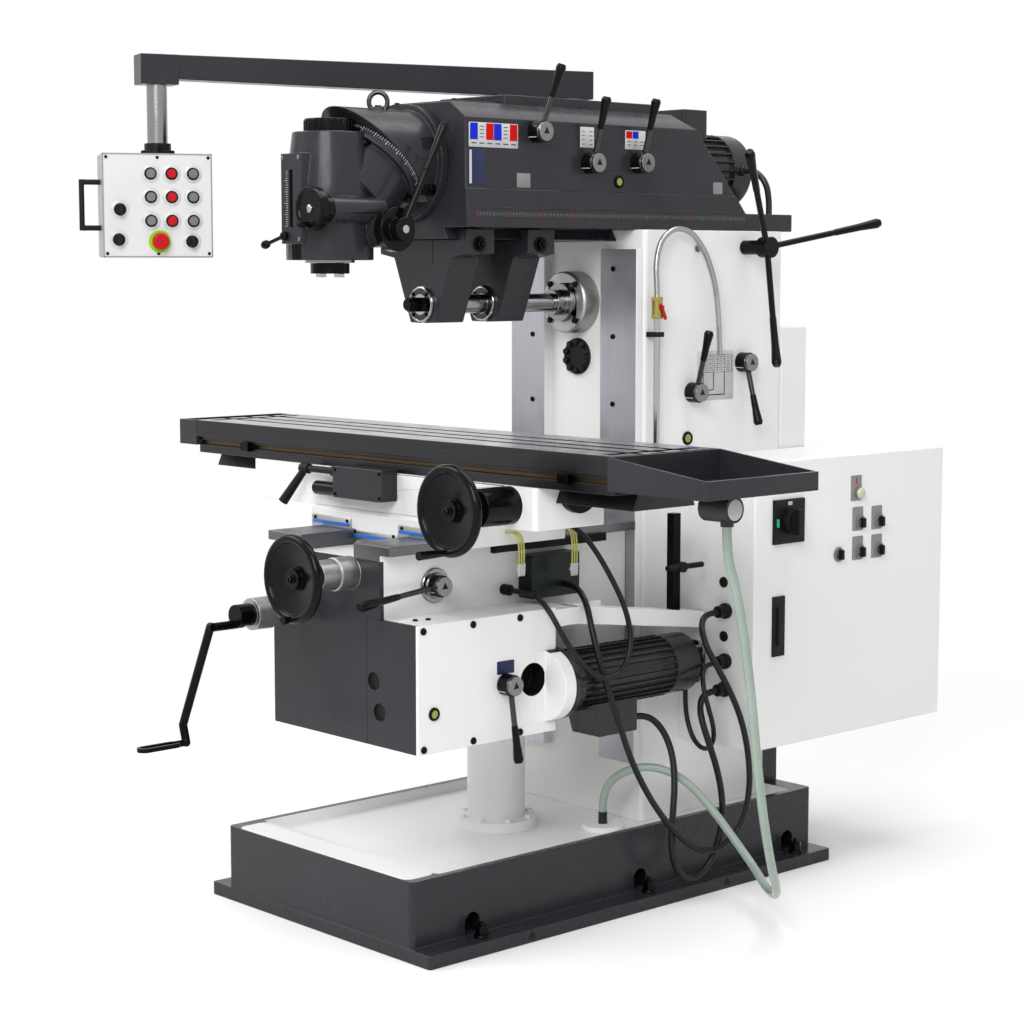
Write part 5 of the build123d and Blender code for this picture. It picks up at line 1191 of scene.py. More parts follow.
@dataclass
class Column(Dress):
    """Column with its ground guides, spindle nose, lift tube, motion chart and oil fittings."""

    body: str = "frame"
    slot: str = "dark_metal"
    side: float = 228.0
    guide: float = 141.0
    guide_x: float = 143.0
    screw_rows: tuple[float, ...] = (1512.0, 1348.0, 1184.0)
    chart_at: Pair = (417.5, 1248.0)
    sight_at: Pair = (317.0, 1096.0)
    nipple_at: Pair = (347.0, 1562.0)
    guide_faces: Box = ((-225, 139, 200), (225, 142, 1640))
    nose_cap: Box = ((-80, 85, 1350), (80, 155, 1510))
    plug_box: Box = ((-60, 150, 1240), (60, 162, 1345))
    arbor_nut: Box = ((-40, -420, 1390), (40, -351, 1470))
    plug: Seat = Seat((0, 156, 1296), Side.FRONT.value)
    nose_screw_x: tuple[float, ...] = (-44.0, 44.0)
    nose_screw_z: tuple[float, ...] = (1386.0, 1474.0)

    def build(self) -> None:
        """Paints the castings and fits their details."""
        nose = [
            Patch(Finishes.OXIDE, (x - 9, 90, z - 9), (x + 9, 111, z + 9))
            for x in self.nose_screw_x for z in self.nose_screw_z
        ]
        Casting("column_casting", Finishes.WHITE, 1.6, (
            Patch(Finishes.GUIDE_STEEL, *self.guide_faces, Side.FRONT.value),
            Patch(Finishes.SATIN_STEEL, *self.nose_cap),
            Patch(Finishes.MATT_BLACK, *self.plug_box),
            *nose,
        )).build()
        Casting("lift_tube", Finishes.WHITE, 1.0).build()
        Casting("arbor", Finishes.TURNED_STEEL, 0.8, (
            Patch(Finishes.OXIDE, *self.arbor_nut),
        )).build()
        Casting("capstan", Finishes.GLOSS_BLACK, 1.0).build()
        self.chart()
        self.sight_glass("column_sight_glass", Seat((self.side, *self.sight_at)), 17)
        nipple = turned(((0, 9), (5, 9), (6, 6), (12, 6), (13, 4.5), (17, 3)), 20)
        spot = Seat((self.side, *self.nipple_at))
        self.fit("column_oil_nipple", nipple, Finishes.TURNED_STEEL, [spot], "polished_steel")
        screws = [
            Seat((x, self.guide, z), Side.FRONT.value)
            for x in (-self.guide_x, self.guide_x) for z in self.screw_rows
        ]
        self.fit("guide_screws", cap_screw(6.5, 2.5), Finishes.OXIDE, screws)
        lobe = turned(((0, 8), (6, 8), (8, 6)), 16)
        lobes = face_places(self.plug, 36, range(0, 360, 36))
        self.fit("plug_lobes", lobe, Finishes.MATT_BLACK, lobes, "black_plastic")

    def chart(self) -> None:
        """White motion chart with a grid and the lever paths."""
        seat = Seat((self.side, *self.chart_at))
        self.plate("motion_chart_plate", seat, (133, 122), Finishes.LABEL_WHITE)
        face = seat.lifted(PLATE_THICK)
        grid = [(6.5, y, 104, 0.8) for y in (8, 18.75, 29.5, 40.25, 51)]
        grid += [(x, 29.5, 0.8, 43) for x in (-45.5, -20, 6, 32, 58.5)]
        grid += [(x, y, 12, 1.2) for x in (-33, -7, 19, 45) for y in (13.5, 24, 35, 45.5)]
        self.marks("motion_chart_grid", face, grid, Finishes.LABEL_DUSK)
        paths = [
            (-45.5, -8, 2.4, 32), (-7.5, -14, 2.4, 44), (-30, -36, 45, 2.4),
            (32.5, -20, 2.4, 56), (-10, -48, 85, 2.4),
        ]
        paths += [(62.5, y, 4, 1.6) for y in (13.5, 24, 35, 45.5)]
        self.marks("motion_chart_paths", face, paths, Finishes.MATT_BLACK)


@dataclass
class Cabinet(Dress):
    """Switch cabinet with its door, main switch, knobs, latch and glands."""

    body: str = "frame"
    slot: str = "black_plastic"
    door_out: float = 472.0
    switch_at: Pair = (415.0, 903.0)
    knobs: tuple[Pair, ...] = ((694, 878), (770, 876), (610, 804), (695, 804), (771, 803))
    plain_knob_end: float = 620.0
    lamp: Pair = (684.0, 953.0)
    gland_at: Pair = (384.0, 284.0)
    glands: tuple[float, ...] = (685.0, 561.0, 492.0)
    front: float = 296.0
    gland_box: Box = ((360, 255, 460), (410, 295.5, 710))
    upper_row: Box = ((249.5, 331, 880), (345, 1000, 966))
    middle_row: Box = ((249.5, 331, 730), (325, 1000, 812))
    lower_row: Box = ((249.5, 331, 580), (305, 1000, 642))
    floor_block: Box = ((249.5, 800, 406), (362, 980, 518))
    switch_and_latch: Box = ((472.5, 345, 560), (500, 480, 970))
    knob_box: Box = ((472.5, 590, 780), (500, 800, 900))
    lamp_box: Box = ((472.5, 660, 930), (500, 710, 980))
    plugs: tuple[Pair, ...] = ((374, 754), (376, 621))

    def build(self) -> None:
        """Paints the box and door and fits their small pieces."""
        Casting("cabinet_box", Finishes.SHEET_WHITE, 1.2, (
            Patch(Finishes.MATT_BLACK, *self.gland_box),
            Patch(Finishes.GREY_PLASTIC, *self.upper_row),
            Patch(Finishes.MATT_BLACK, *self.middle_row),
            Patch(Finishes.PALE_PLASTIC, *self.lower_row),
            Patch(Finishes.BOX_GREEN, *self.floor_block),
        )).build()
        Casting("cabinet_door", Finishes.SHEET_WHITE, 1.2, (
            Patch(Finishes.MATT_BLACK, *self.switch_and_latch),
            Patch(Finishes.MATT_BLACK, *self.knob_box),
            Patch(Finishes.GREY_PLASTIC, *self.lamp_box),
        )).build()
        Casting("main_switch", Finishes.MATT_BLACK, 1.2).build()
        nut = turned(((0, 15), (3, 15), (4, 13.6), (9, 13.6), (10, 12)), 6, 30)
        seats = [Seat((*self.gland_at, z), Side.FRONT.value) for z in self.glands]
        self.fit("gland_nuts", nut, Finishes.MATT_BLACK, seats)
        plug = turned(((0, 13), (2.5, 13), (4, 11), (4, 5), (3, 4)), 24)
        holes = [Seat((x, self.front, z), Side.FRONT.value) for x, z in self.plugs]
        self.fit("cabinet_plugs", plug, Finishes.MATT_BLACK, holes)
        self.door()

    def door(self) -> None:
        """Marks of the switch, collars of the knobs and the lamp's lens."""
        face = Seat((self.door_out + 8, *self.switch_at))
        self.marks("switch_on_mark", face, [(-44, -2, 9, 20)], Finishes.GREEN_MARK)
        self.marks("switch_off_mark", face, [(0, 44, 15, 9)], Finishes.LABEL_WHITE)
        plates = [Seat((self.door_out, y - 10, z + 10)) for y, z in self.knobs if y > self.plain_knob_end]
        plate = slab(42, 60, PLATE_THICK, 3, 0.4)
        self.fit("knob_plates", plate, Finishes.LABEL_GREY, plates, "white_paint", "door")
        collar = turned(((1, 18.5), (4, 18.5), (6, 16.5), (6, 15.3)), 28)
        knobs = [Seat((self.door_out, *at)) for at in self.knobs]
        self.fit("knob_collars", collar, Finishes.GREY_PLASTIC, knobs, "", "door")
        lamp = Seat((self.door_out, *self.lamp))
        above = Seat((self.door_out, self.lamp[0] - 8, self.lamp[1] + 13))
        plate = slab(42, 64, PLATE_THICK, 3, 0.4)
        self.fit("lamp_plate", plate, Finishes.LABEL_GREY, [above], "white_paint", "door")
        self.marks("lamp_plate_mark", above.lifted(PLATE_THICK), [(0, 18, 5, 16)], Finishes.LABEL_RED)
        lens = turned(((8, 13.8), (12, 13.8), (15, 12), (17, 8), (17.6, 3)), 28)
        self.fit("lamp_lens", lens, Finishes.LAMP_LENS, [lamp], "hose_plastic", "door")
        for piece in ("switch_on_mark", "switch_off_mark", "lamp_plate_mark"):
            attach(bpy.data.objects[piece], "door")


@dataclass
class CoolantLine(Dress):
    """Coolant riser with its brass valve, clip and gooseneck."""

    body: str = "frame"
    slot: str = "polished_steel"
    at: Pair = (252.0, 182.0)
    valve_body: Box = ((236, 166, 1395.5), (268, 198, 1445.5))
    clip: Box = ((228.5, 165, 1345), (268, 200, 1365))
    gooseneck: Box = ((150, -200, 1446), (330, 400, 1990))
    valve: Pair = (1396.0, 1445.0)

    def build(self) -> None:
        """Paints the line, makes the valve's handle and fits nuts at both ends of the valve."""
        Casting("coolant_pipe", Finishes.CHROME, 0.5, (
            Patch(Finishes.BRASS, *self.valve_body),
            Patch(Finishes.MATT_BLACK, *self.clip),
            Patch(Finishes.GOOSENECK, *self.gooseneck),
        )).build()
        pivot = Seat((*self.at, sum(self.valve) / 2))
        boss = set_out(turned(((4, 4.8), (20, 4.8), (21, 3.6)), 20), [pivot.moved(0, 0)])
        blade = set_out(slab(9.5, 42, 3.2, 3.5, 0.8), [pivot.moved(5.5, -11, 14.2, 26)])
        lever = joined([boss, blade])
        handle = self.fit("valve_handle", lever, Finishes.RED_PLASTIC, (), "red_plastic", "valve_lever_body")
        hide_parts("valve_lever")
        nut = turned(((0, 13.2), (1.2, 14.4), (9, 14.4), (10.2, 13.2)), 6)
        spots = [Seat((*self.at, z), Side.UP.value) for z in (self.valve[0] - 3, self.valve[1] - 10)]
        self.fit("valve_nuts", nut, Finishes.BRASS, spots)


@dataclass
class Ram(Dress):
    """Ram with its charts, scales, rail strip and rear motor."""

    body: str = "ram"
    slot: str = "grey_paint"
    side: float = 190.0
    rail: float = 196.0
    strip: Pair = (-353.0, 559.0)
    strip_z: float = 1636.0
    top: float = 1890.0
    lid_front: float = -192.0
    mouth_plate: Pair = (224.0, 150.0)
    strokes: int = 91
    sight_at: Pair = (111.0, 1719.0)
    speed_chart: Pair = (-291.75, 1813.5)
    front_plate: Pair = (-343.0, 1741.5)
    small_plate: Pair = (-199.0, 1714.5)
    rear_plate: Pair = (461.5, 1711.5)
    middle_scale: Pair = (4.5, 1820.0)
    rear_scale: Pair = (166.5, 1819.5)
    column_width: float = 24.2

    def on_side(self, at: Pair) -> Seat:
        """Seat on the ram's side."""
        return Seat((self.side, *at))

    def build(self) -> None:
        """Paints the castings and fits plates and scales."""
        Casting("ram_body", Finishes.CHARCOAL, 2.0).build()
        Casting("ram_motor", Finishes.MOTOR_BLACK, 0.8).build()
        self.charts()
        self.scale_strip()
        self.sight_glass("ram_sight_glass", self.on_side(self.sight_at), 15)
        self.chest_plate()

    def chest_plate(self) -> None:
        """Screwed plate over the gear chest's mouth in front of the lid."""
        wide, long = self.mouth_plate
        seat = Seat((0, self.lid_front - 1 - long / 2, self.top), Side.UP.value)
        self.fit("chest_front_plate", slab(wide, long, 5, 6, 0.8), Finishes.CHARCOAL, [seat])
        spots = [seat.moved(x * (wide / 2 - 10), y * (long / 2 - 10), 5) for x in (-1, 1) for y in (-1, 1)]
        self.fit("chest_plate_screws", cap_screw(6, 4), Finishes.OXIDE, spots, "dark_metal")

    def charts(self) -> None:
        """Speed chart, side plates and lever scales, with plain blocks of colour."""
        seat = self.on_side(self.speed_chart)
        self.plate("speed_chart_plate", seat, (149.5, 55), Finishes.LABEL_WHITE)
        face = seat.lifted(PLATE_THICK)
        wide = self.column_width
        columns = [(-60.5 + wide * n, 7.5, wide - 1.2, 37) for n in range(6)]
        self.marks("speed_chart_blue", face, [columns[0], columns[3]], Finishes.LABEL_BLUE)
        self.marks("speed_chart_red", face, [columns[2], columns[5]], Finishes.LABEL_RED)
        rows = [(x, y, 13, 1.6) for x, _, _, _ in (columns[1], columns[4]) for y in (-5, 3, 11, 19)]
        rows += [(x, -19, 15, 2.2) for x, _, _, _ in columns]
        self.marks("speed_chart_rows", face, rows, Finishes.LABEL_DUSK)
        dusk = self.on_side(self.front_plate)
        self.plate("ram_front_plate", dusk, (48, 79), Finishes.LABEL_DUSK)
        edge = [(-19.5, 0, 7, 75)]
        self.marks("ram_front_plate_edge", dusk.lifted(PLATE_THICK), edge, Finishes.LABEL_WHITE)
        self.plate("ram_small_plate", self.on_side(self.small_plate), (42, 33), Finishes.LABEL_GREY)
        self.plate("ram_rear_plate", self.on_side(self.rear_plate), (33, 29), Finishes.LABEL_GREY)
        middle = self.on_side(self.middle_scale)
        self.plate("middle_lever_scale", middle, (45, 48), Finishes.LABEL_WHITE)
        rule = [(x, y, width, 1.4) for x, width in ((-14, 9), (12, 12)) for y in (-16, -6, 4, 14)]
        self.marks("middle_lever_rows", middle.lifted(PLATE_THICK), rule, Finishes.LABEL_DUSK)
        rear = self.on_side(self.rear_scale)
        self.plate("rear_lever_scale", rear, (69, 45), Finishes.LABEL_WHITE)
        self.marks("rear_lever_red", rear.lifted(PLATE_THICK), [(-22, 12, 20, 17)], Finishes.LABEL_RED)
        self.marks("rear_lever_blue", rear.lifted(PLATE_THICK), [(0, 12, 20, 17)], Finishes.LABEL_BLUE)
        dashes = [(x, y, 12, 1.6) for x in (-22, 0, 22) for y in (-4, -12)]
        self.marks("rear_lever_rows", rear.lifted(PLATE_THICK), dashes, Finishes.LABEL_DUSK)

    def scale_strip(self) -> None:
        """Travel scale along the rail, with white and red strokes."""
        low, high = self.strip
        seat = Seat((self.rail, (low + high) / 2, self.strip_z))
        self.fit("travel_strip", slab(high - low, 12, 1.0, 0, 0.3), Finishes.STRIP_DARK, [seat], "dark_metal")
        face = seat.lifted(1.0)
        reach = (high - low) / 2 - 6
        spots = [(-reach + 2 * reach * n / (self.strokes - 1), n) for n in range(self.strokes)]
        white = [(x, 1.5 if n % 5 else 0, 0.9, 5 if n % 5 else 8) for x, n in spots if n % 10]
        red = [(x, 0, 1.6, 9) for x, n in spots if not n % 10]
        self.marks("travel_strokes", face, white, Finishes.LABEL_GREY)
        self.marks("travel_decades", face, red, Finishes.LABEL_RED)


@dataclass
class Lever:
    """Hand lever on a round hub, with a capped disc, a steel rod and a black grip."""

    node: str
    hub: Triple
    tip: Triple
    disc_out: float = 39.0
    root_out: float = 18.0
    bare: float = 0.52

    def build(self) -> None:
        """Paints the lever and sets an index on its hub and a pointer on its disc."""
        seat = Seat(self.hub)
        root = seat.lifted(self.root_out).spot
        reach = Vector((self.tip[0] - self.root_out, *self.tip[1:]))
        rod = Seat(root, tuple(reach.normalized()))
        Casting(self.node, Finishes.GLOSS_BLACK, 0.8, (
            Patch(Finishes.ROD_STEEL, (-9, -9, 25.5), (9, 9, reach.length * self.bare), None, rod),
            Patch(Finishes.CAP_STEEL, (-23, -23, 30.05), (23, 23, 40), None, seat),
        )).build()
        dress = Dress(f"{self.node}_body", "polished_steel")
        pointer = turned(((0, 10), (0.5, 10), (0.8, 9.4)), 3)
        disc = seat.lifted(self.disc_out)
        dress.fit(f"{self.node}_pointer", pointer, Finishes.MATT_BLACK, [disc], "black_plastic")
        bar = slab(2.2, 26, 0.5, 0, 0.12)
        rim = rim_places(seat, 25, 14, (120,))
        dress.fit(f"{self.node}_index", bar, Finishes.LABEL_WHITE, rim, "white_paint")


@dataclass
class Levers:
    """Gear, feed, ram and column levers."""

    levers: tuple[Lever, ...] = (
        Lever("ram_lever_front", (190, -162, 1826), (62, 26, 152)),
        Lever("ram_lever_middle", (190, 9, 1760), (58, 4, 152)),
        Lever("ram_lever_rear", (190, 174, 1765), (58, 6, 150)),
        Lever("column_lever_front", (228, 330, 1209), (56, 4, 152)),
        Lever("column_lever_rear", (228, 514, 1278), (56, 6, -156)),
        Lever("gear_lever", (319, -375, 580), (40, 6, -176)),
        Lever("feed_lever", (190, -474, 802), (56, -262, -18)),
    )

    def build(self) -> None:
        """Builds every lever."""
        for lever in self.levers:
            lever.build()


@dataclass
class ArborSupports(Dress):
    """Two overarm supports with their bushes, clamp nuts and a black line painted as the shade in each clamp
    slit.
    """

    body: str = "support_front"
    slot: str = "dark_metal"
    fronts: tuple[tuple[str, float], ...] = (("front", -343.0), ("rear", -152.0))
    axis_z: float = 1430.0
    ear_x: float = 155.0
    stud_z: float = 1569.0
    stud_back: float = 38.7
    bush_out: float = 9.0
    slit_at: Pair = (36.0, 1554.0)

    def build(self) -> None:
        """Paints both supports and fits screws and nuts."""
        for name, front in self.fronts:
            self.body = f"support_{name}"
            Casting(f"{name}_arbor_support", Finishes.CHARCOAL, 1.8, (
                Patch(Finishes.ROD_STEEL, (-43, front - 10, 1387), (43, front - 0.5, 1473)),
            )).build()
            bush = Seat((0, front - self.bush_out, self.axis_z), Side.FRONT.value)
            screws = face_places(bush, 33.5, (45, 135, 225, 315))
            self.fit(f"{name}_bush_screws", cap_screw(4.6, 2.6), Finishes.OXIDE, screws)
            studs = [
                Seat((side.value[0] * self.ear_x, front + self.stud_back, self.stud_z), side.value)
                for side in (Side.RIGHT, Side.LEFT)
            ]
            self.fit(f"{name}_clamp_nuts", hex_nut(14, 15), Finishes.OXIDE, studs)
            # A black bar painted on the face stands for the shade in the clamp's slit.
            slit = Seat((self.slit_at[0], front, self.slit_at[1]), Side.FRONT.value)
            self.marks(f"{name}_clamp_slit_shade", slit, [(0, 0, 1.8, 58)], Finishes.MATT_BLACK)
            # A bright chrome ring round the bush's edge stands for the highlight that the edge catches: a
            # painted highlight.
            ring = turned(((0, 42.6), (7, 42.6), (8.6, 41), (9.4, 40), (9.4, 37.5), (8.8, 36.8)), 48)
            rim = Seat((0, front, self.axis_z), Side.FRONT.value)
            self.fit(f"{name}_bush_rim_highlight", ring, Finishes.CHROME, [rim])


@dataclass
class SwivelHead(Dress):
    """Mitred universal head: knuckle, head, quill, spindle and their handles."""

    body: str = "head"
    slot: str = "dark_metal"
    axis_y: float = -615.0
    pad_front: float = -722.0
    mitre: Triple = (0.0, -486.0, 1754.0)
    mitre_r: float = 122.0
    flange_front: float = -397.0
    neck_r: float = 120.0
    nut_turns: tuple[float, ...] = (20.0, -32.0, 160.0, 212.0)
    eye_at: Triple = (0.0, -473.0, 1872.0)
    eye_r: float = 21.0
    eye_wire: float = 5.5
    eye_facing: Triple = (0.73, -0.68, 0.0)
    cad_eye: Box = ((-32, -505, 1874.2), (32, -440, 1930))
    cap_box: Box = ((-60, -675, 1815.5), (60, -555, 1850))
    depth_slot_shade: Box = ((-7, -721.5, 1603), (7, -690, 1731))
    lower_boss: Box = ((-20, -720, 1531), (20, -681, 1567.5))
    spindle_nose: Box = ((-80, -700, 1400), (80, -530, 1503.9))
    pad_z: float = 1667.0
    cap_z: float = 1830.0
    clamp_at: Pair = (-20.0, 1585.0)
    clamp_way: Triple = (-0.9656, 0.0, -0.26)
    fine_hub: Seat = Seat((93, -741, 1643), Side.FRONT.value)
    quill_hub: Seat = Seat((182, -545, 1600))

    def build(self) -> None:
        """Paints the castings and fits scales, screws, nuts and the clamp handle."""
        Casting("head_knuckle", Finishes.CHARCOAL, 1.8, without=self.cad_eye).build()
        self.lifting_eye()
        Casting("milling_head", Finishes.CHARCOAL, 2.0, (
            Patch(Finishes.GLOSS_BLACK, *self.cap_box),
            # Matt black on the depth slot's walls: painted shade inside the slot.
            Patch(Finishes.MATT_BLACK, *self.depth_slot_shade),
            Patch(Finishes.GLOSS_BLACK, *self.lower_boss),
        )).build()
        Casting("quill", Finishes.TURNED_STEEL, 0.8).build()
        Casting("vertical_spindle", Finishes.OXIDE, 0.8, (
            Patch(Finishes.CHROME, *self.spindle_nose),
        )).build()
        self.pad()
        self.swivel_scale()
        self.handles()

    def lifting_eye(self) -> None:
        """Eyebolt on the knuckle, turned to the machine's corner."""
        deselect()
        bpy.ops.mesh.primitive_torus_add(
            major_segments=40,
            minor_segments=14,
            major_radius=self.eye_r * MM,
            minor_radius=self.eye_wire * MM,
        )
        ring = bpy.context.active_object
        bpy.ops.object.mode_set(mode="EDIT")
        bpy.ops.mesh.select_all(action="SELECT")
        bpy.ops.transform.resize(value=(1, 1.06, 1))
        closed()
        stand = Seat((*self.eye_at[:2], self.eye_at[2] + self.eye_r - 4), self.eye_facing)
        ring = set_out(ring, [stand.matrix()])
        foot = turned(((0, 15), (4, 15), (7, 9), (10, 7)), 24)
        foot = set_out(foot, [Seat(self.eye_at, Side.UP.value).matrix()])
        self.fit("lifting_eye_ring", joined([ring, foot]), Finishes.ROD_STEEL, (), "", "knuckle")

    def pad(self) -> None:
        """Depth scale beside the slot, corner screws, ribs of the cap and the clamp handle."""
        front = Seat((0, self.pad_front, self.pad_z), Side.FRONT.value)
        corners = [front.moved(x, z) for x in (-29, 29) for z in (-89, 89)]
        self.fit("pad_screws", cap_screw(4.6, 2.6), Finishes.TURNED_STEEL, corners, "polished_steel")
        strokes = [(-15 if n % 5 else -17, -60 + 5 * n, 7 if n % 5 else 12, 0.9) for n in range(25)]
        self.marks("depth_strokes", front, strokes, Finishes.LABEL_WHITE)
        cap = Seat((0, self.axis_y, self.cap_z), Side.UP.value)
        ribs = rim_places(cap, 54.6, 0, range(60, 301, 15))
        self.fit("cap_ribs", slab(6, 22, 2.2, 2, 0.8), Finishes.GLOSS_BLACK, ribs, "black_gloss")
        boss = turned(((0, 10), (9, 10), (11, 8.5), (12, 5)), 24)
        x, z = self.clamp_at
        self.fit("clamp_boss", boss, Finishes.OXIDE, [Seat((x, self.pad_front, z), Side.FRONT.value)])
        rod = turned(((0, 4.2), (58, 4.2), (59, 6), (64, 9), (72, 10), (79, 7.5), (82, 3)), 20)
        self.fit("clamp_handle", rod, Finishes.OXIDE, [Seat((x, self.pad_front - 6, z), self.clamp_way)])

    def swivel_scale(self) -> None:
        """Graduation and nuts of the mitre joint, the flange's nuts, and black sheets painted on the neck as
        the shade of their pockets.
        """
        disc = Seat(self.mitre, (0.0, 1.0, 1.0))
        short = rim_places(disc, self.mitre_r - 0.1, -6, [turn for turn in range(0, 360, 3) if turn % 15])
        self.fit("mitre_strokes", slab(0.9, 7, 0.5, 0, 0.12), Finishes.LABEL_WHITE, short, "white_paint")
        long = rim_places(disc, self.mitre_r - 0.1, -8, range(0, 360, 15))
        self.fit("mitre_decades", slab(1.3, 12, 0.5, 0, 0.12), Finishes.LABEL_WHITE, long, "white_paint")
        flange, pockets = [], []
        for turn in self.nut_turns:
            away = Vector((math.cos(math.radians(turn)), 0.0, math.sin(math.radians(turn))))
            axis = Vector((0.0, self.flange_front, self.mitre[2]))
            flange.append(Seat(tuple(axis + away * (self.neck_r - 2)), Side.FRONT.value))
            pockets.append(Seat(tuple(axis + away * (self.neck_r - 0.6) - Vector((0, 21, 0))), tuple(away)))
        self.fit("flange_nuts", hex_nut(11, 14), Finishes.OXIDE, flange, "", "knuckle")
        # Black sheets on the neck beside the flange's nuts: painted shade of the pockets that the nuts sit
        # in.
        pocket_shade = slab(42, 30, 1.0, 5, 0.3)
        self.fit("flange_pocket_shades", pocket_shade, Finishes.MATT_BLACK, pockets, "black_plastic", "knuckle")
        under = Seat(tuple(Vector(self.mitre) - Vector((0.0, 18.6, 18.6))), (0.0, -1.0, -1.0))
        self.fit("mitre_nuts", hex_nut(9, 16), Finishes.OXIDE, face_places(under, 113, (40, 140, 220, 320)))

    def handles(self) -> None:
        """Fine feed wheel and quill lever with bright centres."""
        Casting("fine_feed_wheel", Finishes.GLOSS_BLACK, 1.4).build()
        Casting("quill_lever", Finishes.GLOSS_BLACK, 1.2).build()
        hub = self.fine_hub
        rim = turned(((-3, 47.8), (0, 47.8), (4.5, 46.5), (5.5, 43.5), (4.5, 40), (1, 37), (-0.2, 36)), 48)
        self.fit("fine_wheel_rim", rim, Finishes.GLOSS_BLACK, [hub], "black_gloss", "fine_feed_wheel_body")
        dot = turned(((-1, 9), (3, 9), (4.4, 7.6), (5, 4)), 28)
        self.fit("fine_wheel_dot", dot, Finishes.CHROME, [hub], "polished_steel", "fine_feed_wheel_body")
        knob = turned(((0, 9), (1.5, 9), (2.6, 6)), 24)
        seats = [self.quill_hub]
        self.fit("quill_hub_dot", knob, Finishes.CHROME, seats, "polished_steel", "quill_lever_body")


@dataclass
class Pendant(Dress):
    """Control pendant on its arm, with push buttons, selectors and the emergency stop."""

    body: str = "pendant"
    slot: str = "polished_steel"
    seat: Seat = Seat((-311, -862, 0), (0.8957, -0.4446, 0.0))
    face: float = 50.0
    width: Pair = (-131.0, 115.0)
    height: Pair = (1538.0, 1770.0)
    button_columns: tuple[float, ...] = (-23.5, 23.5, 71.5)
    button_rows: tuple[float, ...] = (1725.0, 1673.0, 1620.0)
    selectors: tuple[Pair, ...] = ((-92.5, 1645), (-96, 1578), (67.5, 1574))
    post: Box = ((-336, -887, 1740), (-286, -837, 1922.5))
    stop_ring: Box = ((-31, 1548, 50.3), (21, 1600, 70))
    foot_collar: Box = ((-45, 1770.5, -45), (45, 1800, 45))
    post_foot: Seat = Seat((-311, -862, 1774), Side.UP.value)
    screw_inset: float = 9.0
    trim_width: float = 3.4

    def local(self, finish: Finish, low: Triple, high: Triple, facing: Optional[Triple] = None) -> Patch:
        """Patch in the pendant's own directions."""
        return Patch(finish, low, high, facing, self.seat)

    def build(self) -> None:
        """Paints arm, case and controls and fits the face's screws."""
        Casting("pendant_arm", Finishes.CHARCOAL, 1.5, (
            Patch(Finishes.TURNED_STEEL, *self.post),
        )).build()
        left, right = self.width
        low, high = self.height
        Casting("pendant_box", Finishes.CASE_GREY, 1.2, (
            self.local(Finishes.CASE_WHITE, (left, low, 45), (right, high, 50.2), self.seat.facing),
            self.local(Finishes.MATT_BLACK, (-180, 1595, -20), (left - 0.5, 1715, 60)),
            self.local(Finishes.MATT_BLACK, (left, low, 50.3), (right, high, 70)),
            self.local(Finishes.YELLOW_RING, *self.stop_ring),
            self.local(Finishes.MATT_BLACK, *self.foot_collar),
        )).build()
        for row in ("upper", "centre", "lower"):
            for column in ("left", "middle", "right"):
                finish = Finishes.RED_PLASTIC if column == "middle" else Finishes.GREY_PLASTIC
                Casting(f"button_{row}_{column}", finish, 0.8).build()
        Casting("emergency_stop", Finishes.RED_PLASTIC, 0.8).build()
        for name in ("upper", "lower_left", "lower_right"):
            Casting(f"selector_{name}", Finishes.MATT_BLACK, 0.8).build()
        inset = self.screw_inset
        corners = [
            self.seat.moved(t, z, self.face)
            for t in (left + inset, (left + right) / 2, right - inset) for z in (low + inset, high - inset)
        ]
        self.fit("pendant_screws", cap_screw(3.6, 2.0), Finishes.OXIDE, corners, "dark_metal")
        self.face_trim()
        self.post_clamp()

    def post_clamp(self) -> None:
        """Clamp band of the post with its thumb screws, and the collar's screws."""
        foot = self.post_foot
        band = turned(((4, 29), (5, 30), (19, 30), (20, 29)), 40)
        self.fit("post_clamp_band", band, Finishes.MATT_BLACK, [foot], "black_plastic")
        thumb = turned(((-2, 3.6), (9, 3.6), (10, 6.5), (19, 6.5), (20, 5.4)), 18)
        sides = rim_places(foot, 29, 12, (63, 243))
        self.fit("post_clamp_screws", thumb, Finishes.OXIDE, sides, "dark_metal")
        collar = rim_places(foot, 37.6, 0, range(0, 360, 60))
        self.fit("collar_screws", cap_screw(4, 3), Finishes.OXIDE, collar, "dark_metal")

    def face_trim(self) -> None:
        """Dark edge round the face and pale rings under the buttons and selectors."""
        left, right = self.width
        low, high = self.height
        centre = self.seat.moved((left + right) / 2, (low + high) / 2, self.face).translation / MM
        middle = Seat(tuple(centre), self.seat.facing)
        wide, tall = right - left, high - low
        edge = self.trim_width
        bars = [(0, side * (tall - edge) / 2, wide - 2, edge) for side in (-1, 1)]
        bars += [(side * (wide - edge) / 2, 0, edge, tall - 2) for side in (-1, 1)]
        self.marks("pendant_face_edge", middle, bars, Finishes.CASE_GREY)
        spots = [(t, z) for t in self.button_columns for z in self.button_rows] + list(self.selectors)
        rings = [self.seat.moved(t, z, self.face - 0.4) for t, z in spots]
        ring = turned(((0, 21), (1.0, 21), (1.8, 20)), 32)
        self.fit("control_rings", ring, Finishes.PALE_PLASTIC, rings, "white_paint")


